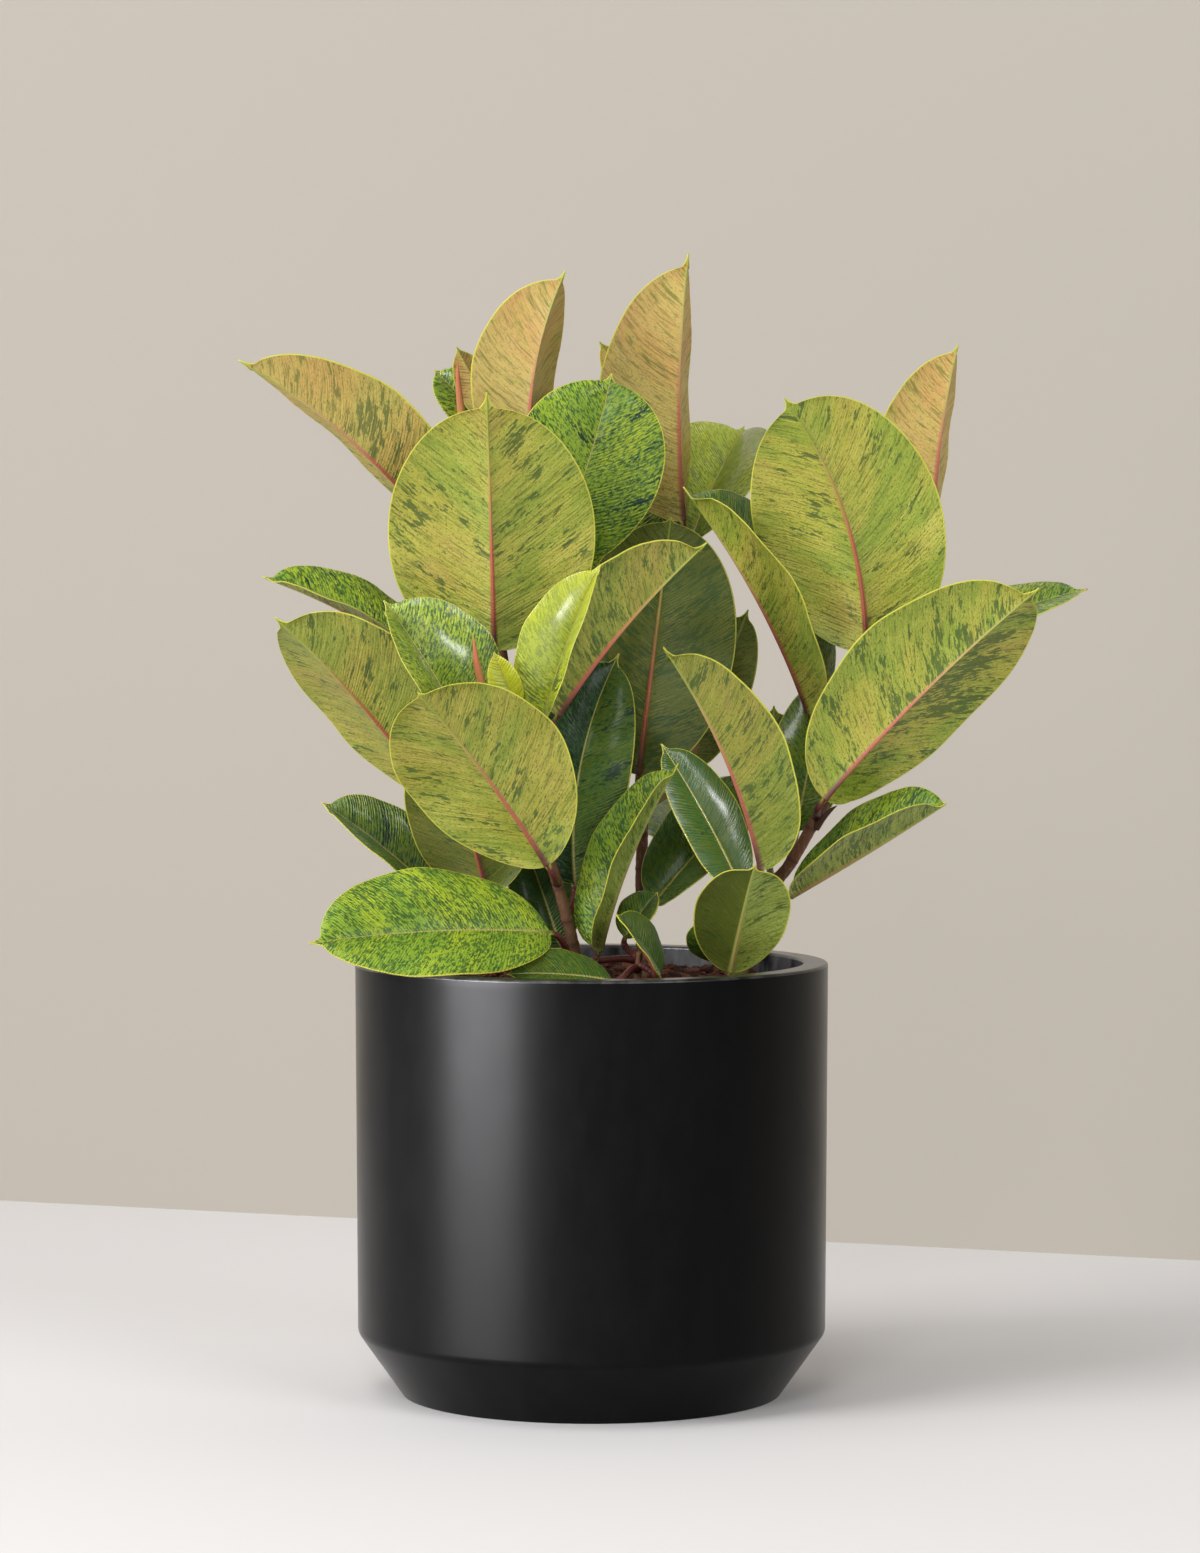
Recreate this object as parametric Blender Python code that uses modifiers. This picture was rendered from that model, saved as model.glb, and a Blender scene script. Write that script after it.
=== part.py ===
# A potted rubber plant: a turned planter filled with bark mix, four woody stems, two low
# shoots, and broad leaves that each grow on a petiole of their own.
# Blender 4.5, metres, +Z up. The origin is on the planter's axis, on the plane it stands on.

import math
from collections import namedtuple

import bmesh
import bpy
from mathutils import Vector, noise

MM = 0.001
SAME_POINT = 0.00001
SHARP_ANGLE = 35

# Planter, in metres
RIM_RADIUS = 0.1557
RIM_HEIGHT = 0.2849
LIP_WIDTH = 0.0164
LIP_ROUND = 0.0018
CREASE_RADIUS = 0.1543
CREASE_HEIGHT = 0.0415
CREASE_ROUND = 0.009
FOOT_RADIUS = 0.1256
FOOT_ROUND = 0.0015
FLOOR_THICKNESS = 0.016
POT_SEGMENTS = 48

# Growing mix
MIX_DROP = 0.014
MIX_RINGS = 7
MIX_RELIEF = 0.0035
MIX_GRAIN = 42.0
MIX_CALM_EDGE = 0.99
SEAT_GAP = 0.0003

# Stems
BURIED_LENGTH = 0.05
HOLE_CLEARANCE = 0.0006
HOLE_SIDES = 16
CUTTER_OVER = 0.02
STEM_STEP = 0.035
SHEATH_GAP = 0.0009
SHEATH_LIFT = 0.8
SHEATH_SHAPE = ((0.0, 0.9), (0.25, 1.0), (0.6, 0.75), (0.85, 0.4), (1.0, 0.15))

# Leaves
BLADE_THICKNESS = 0.0008
PETIOLE_RADIUS = 0.0022
RIB_TIP_RADIUS = 0.0005
DRIP_HALF_WIDTH = 0.0022
DRIP_END_HALF_WIDTH = 0.0006
WAVES = 2.5
BLADE_ROWS = (0.0, 0.06, 0.2, 0.4, 0.6, 0.8, 0.915, 0.955, 1.0)
SMALL_BLADE_ROWS = (0.0, 0.12, 0.38, 0.68, 0.9, 0.95, 1.0)
SMALL_BLADE_LENGTH = 0.1
PETIOLE_ROWS = (0.0, 0.5)
PETIOLE_GAP = 0.0005
PETIOLE_RISE = 0.4
PETIOLE_REACH = 0.35
RIB_DEPTH = 1.3
RIB_WIDEST_SHARE = 0.45
FOLD_FADE = 0.2

BARK_BROWN = (0.16, 0.085, 0.05)
COLOURS = {
    "planter": ((0.012, 0.012, 0.013), 0.42),
    "mix": ((0.11, 0.045, 0.025), 0.95),
    "wood": (BARK_BROWN, 0.75),
    "shoot": ((0.12, 0.16, 0.05), 0.6),
    "sheath": ((0.72, 0.27, 0.16), 0.5),
    "green": ((0.2, 0.33, 0.06), 0.38),
    "olive": ((0.33, 0.36, 0.1), 0.42),
    "dark": ((0.05, 0.13, 0.045), 0.35),
    "young": ((0.62, 0.36, 0.16), 0.45),
}

Stem = namedtuple("Stem", "name route radius tip_radius colour")
Leaf = namedtuple(
    "Leaf",
    "name stem height base tip width face fold colour arch sway twist wave peak oval",
    defaults=(0.04, 0.0, 0.0, 0.015, 0.475, 0.95),
)

# Each stem's centreline, in millimetres, from the surface of the mix up to its shoot tip.
STEMS = (
    Stem("front_stem", ((-6, -42, 271), (-17, -47, 321), (-27, -52, 355), (-45, -60, 410), (-64, -72, 452)),
         4.2, 2.8, "wood"),
    Stem("left_stem", ((-32, 12, 271), (-38, 16, 330), (-50, 20, 420), (-64, 26, 520), (-84, 36, 630)),
         4.6, 2.6, "wood"),
    Stem("middle_stem", ((34, 22, 271), (33, 24, 340), (36, 27, 430), (45, 33, 520), (56, 42, 590)),
         4.4, 2.6, "wood"),
    Stem("right_stem", ((97, 4, 271), (111, 5, 322), (130, 2, 348), (146, -1, 376), (158, 2, 400),
                        (182, 8, 470), (205, 14, 545)),
         4.6, 2.6, "wood"),
    Stem("low_shoot", ((30, -62, 271), (30, -63, 283), (31, -64, 296)), 2.6, 2.0, "shoot"),
    Stem("side_shoot", ((96, -52, 271), (96, -53, 281), (95, -54, 292)), 2.6, 2.0, "shoot"),
)

# Each leaf, in millimetres and degrees: the stem and the height on it where the petiole starts,
# the ends of the blade, its full width, the way its upper side looks, and how far each half
# is folded up. Arch and sway bow the midrib, as shares of the blade's length. Peak is where
# along the blade it is widest, and oval where its drip tip begins.
LEAVES = (
    Leaf("leaf_left_01", "left_stem", 505, (-100, -10, 566), (-228, -45, 678), 88, (0.47, 0.72, 0.51), 37,
         "olive", sway=-0.03, peak=0.4),
    Leaf("leaf_left_02", "left_stem", 560, (-39, -5, 600), (-17, -25, 737), 82, (-0.5, 0.85, 0.1), 39,
         "young", sway=0.06, peak=0.5),
    Leaf("leaf_left_03", "left_stem", 600, (-68, 54, 634), (-105, 54, 676), 38, (0.3, -0.9, 0.3), 14,
         "green"),
    Leaf("leaf_left_04", "left_stem", 612, (-62, 44, 640), (-90, 47, 691), 28, (-0.3, 0.9, 0.2), 16, "young"),
    Leaf("leaf_left_05", "left_stem", 450, (-63, -42, 490), (-67, -75, 656), 136, (0, 1, 0.15), 8, "olive",
         peak=0.44, oval=0.94),
    Leaf("leaf_left_06", "left_stem", 500, (-31, 2, 540), (13, -10, 671), 100, (0.1, -1, 0.3), 10, "green",
         sway=0.03, peak=0.58, oval=0.96),
    Leaf("leaf_left_07", "left_stem", 425, (-109, -15, 484), (-213, -40, 538), 60, (0.2, -0.4, 0.9), 30,
         "green", peak=0.42),
    Leaf("leaf_left_08", "left_stem", 300, (-97, -8, 323), (-176, -30, 391), 58, (0.5, -0.65, 0.6), 30,
         "dark"),
    Leaf("leaf_left_09", "left_stem", 318, (-68, -27, 330), (-99, -52, 436), 84, (0.2, 0.9, 0.3), 8, "olive"),
    Leaf("leaf_front_01", "front_stem", 290, (-27, -70, 309), (-178, -138, 307), 91, (0, -0.75, 0.65), 12,
         "green", peak=0.5),
    Leaf("leaf_front_02", "front_stem", 318, (-11, -30, 338), (18, -15, 488), 68, (0, -1, 0.2), 8, "dark",
         sway=-0.07),
    Leaf("leaf_front_03", "front_stem", 340, (-28, -85, 353), (-109, -132, 465), 114, (0.2, 0.88, 0.4), 8,
         "olive", peak=0.54, oval=0.98),
    Leaf("leaf_front_04", "front_stem", 375, (-104, -50, 399), (-203, -75, 512), 102, (0.44, 0.79, 0.42), 22,
         "olive"),
    Leaf("leaf_front_05", "front_stem", 410, (-22, -54, 448), (74, -78, 560), 84, (-0.6, 0.6, 0.5), 38,
         "olive"),
    Leaf("leaf_front_06", "front_stem", 425, (-30, -88, 449), (6, -102, 546), 60, (-0.5, -0.75, 0.4), 40,
         "green", peak=0.42),
    Leaf("leaf_front_07", "front_stem", 400, (-77, -66, 430), (-133, -82, 523), 88, (0.53, -0.79, 0.33), 36,
         "green"),
    Leaf("leaf_front_08", "front_stem", 438, (-48, -90, 455), (-62, -100, 490), 22, (-0.3, -0.8, 0.5), 20,
         "young"),
    Leaf("leaf_front_09", "front_stem", 280, (5, -52, 296), (56, -64, 418), 64, (-0.85, -0.35, 0.35), 38,
         "green", peak=0.4),
    Leaf("leaf_front_10", "front_stem", 283, (-47, -60, 294), (-100, -72, 291), 45, (0, -0.6, 0.8), 8,
         "dark"),
    Leaf("leaf_middle_01", "middle_stem", 530, (61, 36, 575), (64, 30, 752), 104, (-0.65, 0.75, 0), 40,
         "young"),
    Leaf("leaf_middle_02", "middle_stem", 580, (46, 74, 640), (5, 76, 696), 26, (-0.3, 0.9, 0.2), 14,
         "young"),
    Leaf("leaf_middle_03", "middle_stem", 480, (22, 60, 520), (24, 64, 630), 56, (-0.2, -0.9, 0.2), 10,
         "green"),
    Leaf("leaf_middle_04", "middle_stem", 535, (66, 62, 562), (104, 130, 641), 95, (-0.2, -0.7, 0.7), 30,
         "green"),
    Leaf("leaf_middle_05", "middle_stem", 370, (31, -6, 408), (52, 2, 577), 108, (0, 1, 0.1), 8, "dark",
         peak=0.52, oval=0.98),
    Leaf("leaf_middle_06", "middle_stem", 300, (41, -6, 323), (122, 20, 405), 68, (-0.5, -0.7, 0.5), 22,
         "dark"),
    Leaf("leaf_middle_07", "middle_stem", 385, (64, 60, 410), (105, 70, 516), 46, (0, 1, 0.1), 8, "olive"),
    Leaf("leaf_middle_08", "middle_stem", 283, (-21, -8, 296), (-44, 0, 362), 46, (0.1, -0.9, 0.3), 8,
         "dark"),
    Leaf("leaf_right_01", "right_stem", 545, (226, 20, 579), (241, 10, 691), 78, (-0.6, 0.8, 0.05), 40,
         "young", peak=0.42),
    Leaf("leaf_right_02", "right_stem", 465, (179, -28, 489), (124, -60, 653), 124, (0.15, 0.98, 0.05), 8,
         "olive", sway=-0.075, peak=0.47, oval=0.96),
    Leaf("leaf_right_03", "right_stem", 410, (144, 8, 448), (60, -12, 597), 100, (0.85, -0.25, 0.45), 43,
         "olive"),
    Leaf("leaf_right_04", "right_stem", 380, (151, -50, 394), (286, -90, 531), 110, (-0.36, 0.87, 0.34), 19,
         "olive"),
    Leaf("leaf_right_05", "right_stem", 440, (203, 10, 482), (329, 30, 530), 50, (-0.1, -0.5, 0.85), 14,
         "green"),
    Leaf("leaf_right_06", "right_stem", 322, (110, -50, 348), (46, -75, 493), 80, (0.65, 0.65, 0.35), 42,
         "olive", sway=-0.03, peak=0.43),
    Leaf("leaf_right_07", "right_stem", 305, (98, -24, 333), (45, -44, 430), 48, (0.42, -0.85, 0.27), 12,
         "dark"),
    Leaf("leaf_right_08", "right_stem", 298, (129, -10, 328), (229, -58, 392), 68, (-0.5, -0.2, 0.85), 42,
         "green", arch=-0.01, peak=0.56, oval=0.98),
    Leaf("leaf_right_09", "right_stem", 350, (136, 25, 370), (158, 35, 472), 54, (-0.2, -0.9, 0.2), 10,
         "dark"),
    Leaf("leaf_right_10", "right_stem", 335, (118, 46, 366), (122, 54, 452), 50, (0, 1, 0.1), 8, "olive"),
    Leaf("leaf_low_01", "low_shoot", 285, (13, -85, 279), (-54, -108, 285), 44, (0, -0.6, 0.8), 8, "dark"),
    Leaf("leaf_low_02", "low_shoot", 287, (44, -70, 280), (16, -90, 322), 40, (0.6, -0.4, 0.6), 20, "dark"),
    Leaf("leaf_low_03", "low_shoot", 292, (22, -46, 304), (43, -42, 333), 34, (-0.5, -0.6, 0.5), 15, "dark"),
    Leaf("leaf_side_01", "side_shoot", 283, (90, -66, 283), (103, -135, 356), 62, (0, 0.8, 0.6), 8, "green"),
    Leaf("leaf_side_02", "side_shoot", 286, (88, -50, 290), (69, -70, 317), 35, (-0.5, -0.6, 0.5), 10,
         "dark"),
    Leaf("leaf_back_01", "left_stem", 375, (-92, 70, 415), (-158, 150, 455), 88, (0.4, -0.4, 0.8), 12,
         "green"),
    Leaf("leaf_back_02", "left_stem", 520, (-70, 85, 550), (-80, 190, 640), 105, (0.1, -0.7, 0.7), 14,
         "green"),
    Leaf("leaf_back_03", "left_stem", 345, (-40, 60, 380), (-90, 180, 420), 110, (0.2, -0.3, 0.9), 10,
         "green"),
    Leaf("leaf_back_04", "middle_stem", 440, (35, 80, 470), (20, 200, 540), 110, (0, -0.5, 0.85), 10,
         "green"),
    Leaf("leaf_back_05", "middle_stem", 320, (52, 60, 362), (80, 165, 398), 90, (-0.1, -0.2, 0.9), 10,
         "dark"),
    Leaf("leaf_back_06", "right_stem", 425, (206, 50, 440), (256, 142, 490), 96, (-0.4, -0.4, 0.8), 12,
         "green"),
    Leaf("leaf_back_07", "right_stem", 500, (192, 62, 530), (172, 150, 622), 90, (0, -0.7, 0.7), 14,
         "green"),
)

# Bud sheaths: the stem they cap, then length and radius in millimetres, and colour.
SHEATHS = (
    ("left_sheath", "left_stem", 52, 2.2, "sheath"),
    ("front_sheath", "front_stem", 50, 2.2, "sheath"),
)


def clear_scene():
    for old in list(bpy.data.objects):
        bpy.data.objects.remove(old, do_unlink=True)


def make_collection(name):
    made = bpy.data.collections.new(name)
    bpy.context.scene.collection.children.link(made)
    return made


def make_material(name, colour, roughness):
    made = bpy.data.materials.new(name)
    made.use_nodes = True
    shader = made.node_tree.nodes["Principled BSDF"]
    shader.inputs["Base Color"].default_value = (*colour, 1.0)
    shader.inputs["Roughness"].default_value = roughness
    shader.inputs["Metallic"].default_value = 0.0
    return made


def add_object(name, mesh, collection, colour, place=Vector()):
    made = bpy.data.objects.new(name, mesh)
    made.location = place
    collection.objects.link(made)
    mesh.materials.append(make_material(name + "_finish", *COLOURS[colour]))
    mesh.shade_smooth()
    mesh.set_sharp_from_angle(angle=math.radians(SHARP_ANGLE))
    return made


def arc(centre_r, centre_z, radius, start, end, steps):
    """Points of a round corner in the turned profile, angles in degrees from the outward direction."""
    points = []
    for i in range(steps + 1):
        angle = math.radians(start + (end - start) * i / steps)
        points.append((centre_r + radius * math.cos(angle), centre_z + radius * math.sin(angle)))
    return points


def turned_mesh(name, profile, segments):
    """A closed turned body from a profile that starts and ends on the axis, top to bottom outside."""
    mesh = bpy.data.meshes.new(name + "_profile")
    edges = [(i, i + 1) for i in range(len(profile) - 1)]
    mesh.from_pydata([(r, 0.0, z) for r, z in profile], edges, [])
    carrier = bpy.data.objects.new(name + "_carrier", mesh)
    bpy.context.scene.collection.objects.link(carrier)
    screw = carrier.modifiers.new("turn", "SCREW")
    screw.steps = segments
    screw.render_steps = segments
    screw.use_merge_vertices = True
    screw.merge_threshold = SAME_POINT
    bpy.context.view_layer.update()
    evaluated = carrier.evaluated_get(bpy.context.evaluated_depsgraph_get())
    made = bpy.data.meshes.new_from_object(evaluated)
    made.name = name
    bpy.data.objects.remove(carrier)
    return made


def crease_arc():
    """The rounded turn from the upright wall into the chamfer."""
    slope = math.atan2(CREASE_HEIGHT, CREASE_RADIUS - FOOT_RADIUS)
    turn = math.pi / 2 - slope
    back = CREASE_ROUND * math.tan(turn / 2)
    centre_z = CREASE_HEIGHT + back
    return arc(CREASE_RADIUS - CREASE_ROUND, centre_z, CREASE_ROUND, 0, -math.degrees(turn), 3)


def make_pot(collection):
    inner = RIM_RADIUS - LIP_WIDTH
    profile = [(0.0, FLOOR_THICKNESS), (inner_floor_radius(), FLOOR_THICKNESS)]
    profile += reversed(arc(inner + LIP_ROUND, RIM_HEIGHT - LIP_ROUND, LIP_ROUND, 90, 180, 2))
    profile += arc(RIM_RADIUS - LIP_ROUND, RIM_HEIGHT - LIP_ROUND, LIP_ROUND, 90, 0, 2)
    profile += crease_arc()
    profile += arc(FOOT_RADIUS - FOOT_ROUND, FOOT_ROUND, FOOT_ROUND, -40, -90, 1)
    profile.append((0.0, 0.0))
    return add_object("planter", turned_mesh("planter", profile, POT_SEGMENTS), collection, "planter")


def inner_floor_radius():
    """The cup's inside narrows a little towards its floor, as a moulded planter does."""
    return FOOT_RADIUS - LIP_WIDTH


def inner_radius_at(height):
    """The radius of the cup's straight inner wall at a height."""
    top = RIM_HEIGHT - LIP_ROUND
    share = (height - FLOOR_THICKNESS) / (top - FLOOR_THICKNESS)
    return inner_floor_radius() + share * (RIM_RADIUS - LIP_WIDTH - inner_floor_radius())


def mix_height():
    return RIM_HEIGHT - MIX_DROP


def make_mix(collection, cutters):
    top = mix_height()
    bottom = FLOOR_THICKNESS + SEAT_GAP
    outer = inner_radius_at(top) - 2 * SEAT_GAP
    profile = [(outer * i / MIX_RINGS, top) for i in range(MIX_RINGS + 1)]
    profile += [(inner_radius_at(bottom) - 2 * SEAT_GAP, bottom), (0.0, bottom)]
    mesh = turned_mesh("growing_mix", profile, POT_SEGMENTS)
    for vertex in mesh.vertices:
        point = vertex.co
        inside = math.hypot(point.x, point.y) < outer * MIX_CALM_EDGE
        if inside and point.z > top - SAME_POINT:
            point.z += MIX_RELIEF * noise.noise(point * MIX_GRAIN)
    mix = add_object("growing_mix", mesh, collection, "mix")
    for stem in STEMS:
        cut = mix.modifiers.new("hole_" + stem.name, "BOOLEAN")
        cut.operation = "DIFFERENCE"
        cut.solver = "EXACT"
        cut.object = make_hole_cutter(stem, cutters)
    return mix


def make_hole_cutter(stem, cutters):
    """A plain round hole that the stem's buried end stands in."""
    foot = Vector(stem.route[0]) * MM
    depth = BURIED_LENGTH + SEAT_GAP
    radius = stem.radius * MM + HOLE_CLEARANCE
    bm = bmesh.new()
    bmesh.ops.create_cone(bm, cap_ends=True, segments=HOLE_SIDES, depth=depth + CUTTER_OVER,
                          radius1=radius, radius2=radius)
    mesh = bpy.data.meshes.new("hole_" + stem.name)
    bm.to_mesh(mesh)
    bm.free()
    cutter = bpy.data.objects.new("hole_" + stem.name, mesh)
    cutter.location = (foot.x, foot.y, mix_height() + (CUTTER_OVER - depth) / 2)
    cutter.hide_render = True
    cutter.display_type = "WIRE"
    cutters.objects.link(cutter)
    return cutter


def smooth_point(points, place):
    """A point on the smooth curve through the route's points; place counts in route spans."""
    last = len(points) - 1
    i = min(int(place), last - 1)
    t = place - i
    p1 = points[i]
    p2 = points[i + 1]
    p0 = points[i - 1] if i > 0 else p1 * 2 - p2
    p3 = points[i + 2] if i + 2 <= last else p2 * 2 - p1
    return 0.5 * ((2 * p1) + (p2 - p0) * t + (2 * p0 - 5 * p1 + 4 * p2 - p3) * t ** 2
                  + (3 * p1 - p0 - 3 * p2 + p3) * t ** 3)


def stem_rings(stem):
    """The centre and radius of each ring of a stem, from the surface of the mix up to its shoot tip."""
    route = [Vector(p) * MM for p in stem.route]
    length = sum((b - a).length for a, b in zip(route, route[1:]))
    steps = max(2, round(length / STEM_STEP))
    rings = []
    for i in range(steps + 1):
        share = i / steps
        centre = smooth_point(route, share * (len(route) - 1))
        rings.append((centre, (stem.radius + (stem.tip_radius - stem.radius) * share) * MM))
    return rings


def stem_at_height(stem, height):
    """The centreline point, direction and radius of a stem at a height in metres."""
    rings = stem_rings(stem)
    for (low, low_radius), (high, high_radius) in zip(rings, rings[1:]):
        if high.z >= height:
            break
    share = (height - low.z) / (high.z - low.z)
    return low.lerp(high, share), (high - low).normalized(), low_radius + (high_radius - low_radius) * share


def tube_mesh(name, points, radii):
    """A round tube through the points, with closed ends."""
    curve = bpy.data.curves.new(name, "CURVE")
    curve.dimensions = "3D"
    curve.bevel_depth = 1.0
    curve.bevel_resolution = 2
    curve.use_fill_caps = True
    spline = curve.splines.new("POLY")
    spline.points.add(len(points) - 1)
    for spot, point, radius in zip(spline.points, points, radii):
        spot.co = (*point, 1.0)
        spot.radius = radius
    carrier = bpy.data.objects.new(name + "_carrier", curve)
    bpy.context.scene.collection.objects.link(carrier)
    bpy.context.view_layer.update()
    evaluated = carrier.evaluated_get(bpy.context.evaluated_depsgraph_get())
    mesh = bpy.data.meshes.new_from_object(evaluated)
    mesh.name = name
    bpy.data.objects.remove(carrier)
    bm = bmesh.new()
    bm.from_mesh(mesh)
    bmesh.ops.remove_doubles(bm, verts=bm.verts, dist=SAME_POINT)
    bmesh.ops.recalc_face_normals(bm, faces=bm.faces)
    bm.to_mesh(mesh)
    bm.free()
    return mesh


def make_stem(stem, collection):
    rings = stem_rings(stem)
    foot = rings[0][0]
    points = [Vector((0, 0, -BURIED_LENGTH))] + [centre - foot for centre, _ in rings]
    radii = [stem.radius * MM] + [radius for _, radius in rings]
    return add_object(stem.name, tube_mesh(stem.name, points, radii), collection, stem.colour, foot)


def make_sheath(name, stem, length, radius, colour, collection):
    """A slim pointed bud sheath that stands on the shoot tip."""
    top, way, _ = stem_at_height(stem, stem.route[-1][2] * MM)
    lean = (way + Vector((0, 0, SHEATH_LIFT))).normalized()
    start = top + way * SHEATH_GAP
    points = [way.lerp(lean, share) * (length * MM * share) for share, _ in SHEATH_SHAPE]
    mesh = tube_mesh(name, points, [radius * MM * size for _, size in SHEATH_SHAPE])
    return add_object(name, mesh, collection, colour, start)


def half_width(leaf, t):
    """Half the blade's width at a share of its length: an oval that ends in a narrow drip tip."""
    u = min(t / leaf.oval, 1.0) ** (math.log(0.5) / math.log(leaf.peak / leaf.oval))
    oval = leaf.width * MM / 2 * math.sqrt(max(0.0, 4 * u * (1 - u)))
    taper = max(0.0, (t - leaf.oval) / (1 - leaf.oval))
    drip = DRIP_HALF_WIDTH + (DRIP_END_HALF_WIDTH - DRIP_HALF_WIDTH) * taper
    return max(oval, drip)


def square_to(vector, way):
    """The part of a vector that is square to a direction, at unit length."""
    return (vector - way * vector.dot(way)).normalized()


def midrib_frame(leaf, t):
    """The midrib's point, direction, upper-side normal and sideways direction at a share of its length."""
    base = Vector(leaf.base) * MM
    tip = Vector(leaf.tip) * MM
    chord = tip - base
    up = square_to(Vector(leaf.face), chord.normalized())
    side = chord.normalized().cross(up)
    bow = (up * leaf.arch + side * leaf.sway) * chord.length
    point = base + chord * t + bow * 4 * t * (1 - t)
    way = (chord + bow * 4 * (1 - 2 * t)).normalized()
    turn = math.radians(leaf.twist) * (t - 0.5)
    normal = square_to(up * math.cos(turn) + side * math.sin(turn), way)
    return point, way, normal, way.cross(normal)


def blade_ring(leaf, t):
    """Twelve points round the blade: five along the top, two down the margins, five with the rib below."""
    point, _, normal, side = midrib_frame(leaf, t)
    half = half_width(leaf, t)
    fold = math.radians(leaf.fold) * min(1.0, half / (leaf.width * MM * FOLD_FADE))
    rib = PETIOLE_RADIUS + (RIB_TIP_RADIUS - PETIOLE_RADIUS) * math.sqrt(t)
    wave = leaf.wave * leaf.width * MM * math.sin(2 * math.pi * WAVES * t)

    def surface(share, level):
        reach = abs(share) * half
        lift = reach * math.sin(fold) + wave * (reach / (leaf.width * MM / 2)) ** 2
        across = math.copysign(reach * math.cos(fold), share)
        return point + side * across + normal * (lift + level)

    thick = BLADE_THICKNESS / 2
    rib_share = min(RIB_WIDEST_SHARE, rib / half)
    top = [surface(s, thick) for s in (-1, -0.5, 0, 0.5, 1)]
    below = [surface(s, -thick) for s in (1, 0.5, rib_share)]
    below.append(surface(0, -thick - rib * RIB_DEPTH))
    below += [surface(s, -thick) for s in (-rib_share, -0.5, -1)]
    return top + below


# Where each of the twelve ring points lies round the petiole, in degrees from its right side.
PETIOLE_ANGLES = (170, 130, 90, 50, 10, -10, -40, -68, -90, -112, -140, -170)


def petiole_rings(leaf):
    """Rings from the petiole's foot on the stem up to the blade."""
    stem = next(s for s in STEMS if s.name == leaf.stem)
    centre, along, stem_radius = stem_at_height(stem, leaf.height * MM)
    end, end_way, normal, _ = midrib_frame(leaf, 0.0)
    out = square_to(end - centre, along)
    start = centre + out * (stem_radius + PETIOLE_GAP)
    reach = (end - start).length
    first = start + (out + along * PETIOLE_RISE).normalized() * reach * PETIOLE_REACH
    second = end - end_way * reach * PETIOLE_REACH
    rings = []
    for u in reversed(PETIOLE_ROWS):
        v = 1 - u
        point = start * v ** 3 + first * 3 * v * v * u + second * 3 * v * u * u + end * u ** 3
        way = ((first - start) * v * v + (second - first) * 2 * v * u + (end - second) * u * u).normalized()
        if u == 0.0:
            way = out
        normal = square_to(normal, way)
        side = way.cross(normal)
        ring = []
        for angle in PETIOLE_ANGLES:
            turn = math.radians(angle)
            ring.append(point + (side * math.cos(turn) + normal * math.sin(turn)) * PETIOLE_RADIUS)
        rings.append(ring)
    rings.reverse()
    return rings


def join_rings(rings):
    """Closed mesh between the rings, its triangles split alike on the upper and lower faces."""
    count = len(rings[0])
    half = count // 2
    vertices = [point for ring in rings for point in ring]
    faces = []
    for row in range(len(rings) - 1):
        low = row * count
        high = low + count
        for k in range(count):
            n = (k + 1) % count
            left_of_rib = k in (0, 1) or k in (8, 9, 10)
            if (k < half) == left_of_rib:
                faces += [(low + k, low + n, high + n), (low + k, high + n, high + k)]
            else:
                faces += [(low + k, low + n, high + k), (low + n, high + n, high + k)]
    faces.append(tuple(reversed(range(count))))
    faces.append(tuple(range(len(vertices) - count, len(vertices))))
    return vertices, faces


def make_leaf(leaf, collection):
    length = (Vector(leaf.tip) - Vector(leaf.base)).length * MM
    rows = SMALL_BLADE_ROWS if length < SMALL_BLADE_LENGTH else BLADE_ROWS
    rings = petiole_rings(leaf) + [blade_ring(leaf, t) for t in rows]
    vertices, faces = join_rings(rings)
    foot = sum(rings[0], Vector()) / len(rings[0])
    mesh = bpy.data.meshes.new(leaf.name)
    mesh.from_pydata([v - foot for v in vertices], [], faces)
    bm = bmesh.new()
    bm.from_mesh(mesh)
    bmesh.ops.recalc_face_normals(bm, faces=bm.faces)
    bmesh.ops.triangulate(bm, faces=[f for f in bm.faces if len(f.verts) > 3])
    bm.to_mesh(mesh)
    bm.free()
    return add_object(leaf.name, mesh, collection, leaf.colour, foot)


def build():
    clear_scene()
    plant = make_collection("potted_rubber_plant")
    cutters = make_collection("cutters")
    made = [make_pot(plant), make_mix(plant, cutters)]
    made += [make_stem(stem, plant) for stem in STEMS]
    for name, stem_name, length, radius, colour in SHEATHS:
        stem = next(s for s in STEMS if s.name == stem_name)
        made.append(make_sheath(name, stem, length, radius, colour, plant))
    made += [make_leaf(leaf, plant) for leaf in LEAVES]
    base = bpy.data.objects.new("plant_origin", None)
    plant.objects.link(base)
    for piece in made:
        piece.parent = base


build()
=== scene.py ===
import math
import random
from collections import namedtuple

import bmesh
import bpy
from mathutils import Euler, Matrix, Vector, noise


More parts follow.
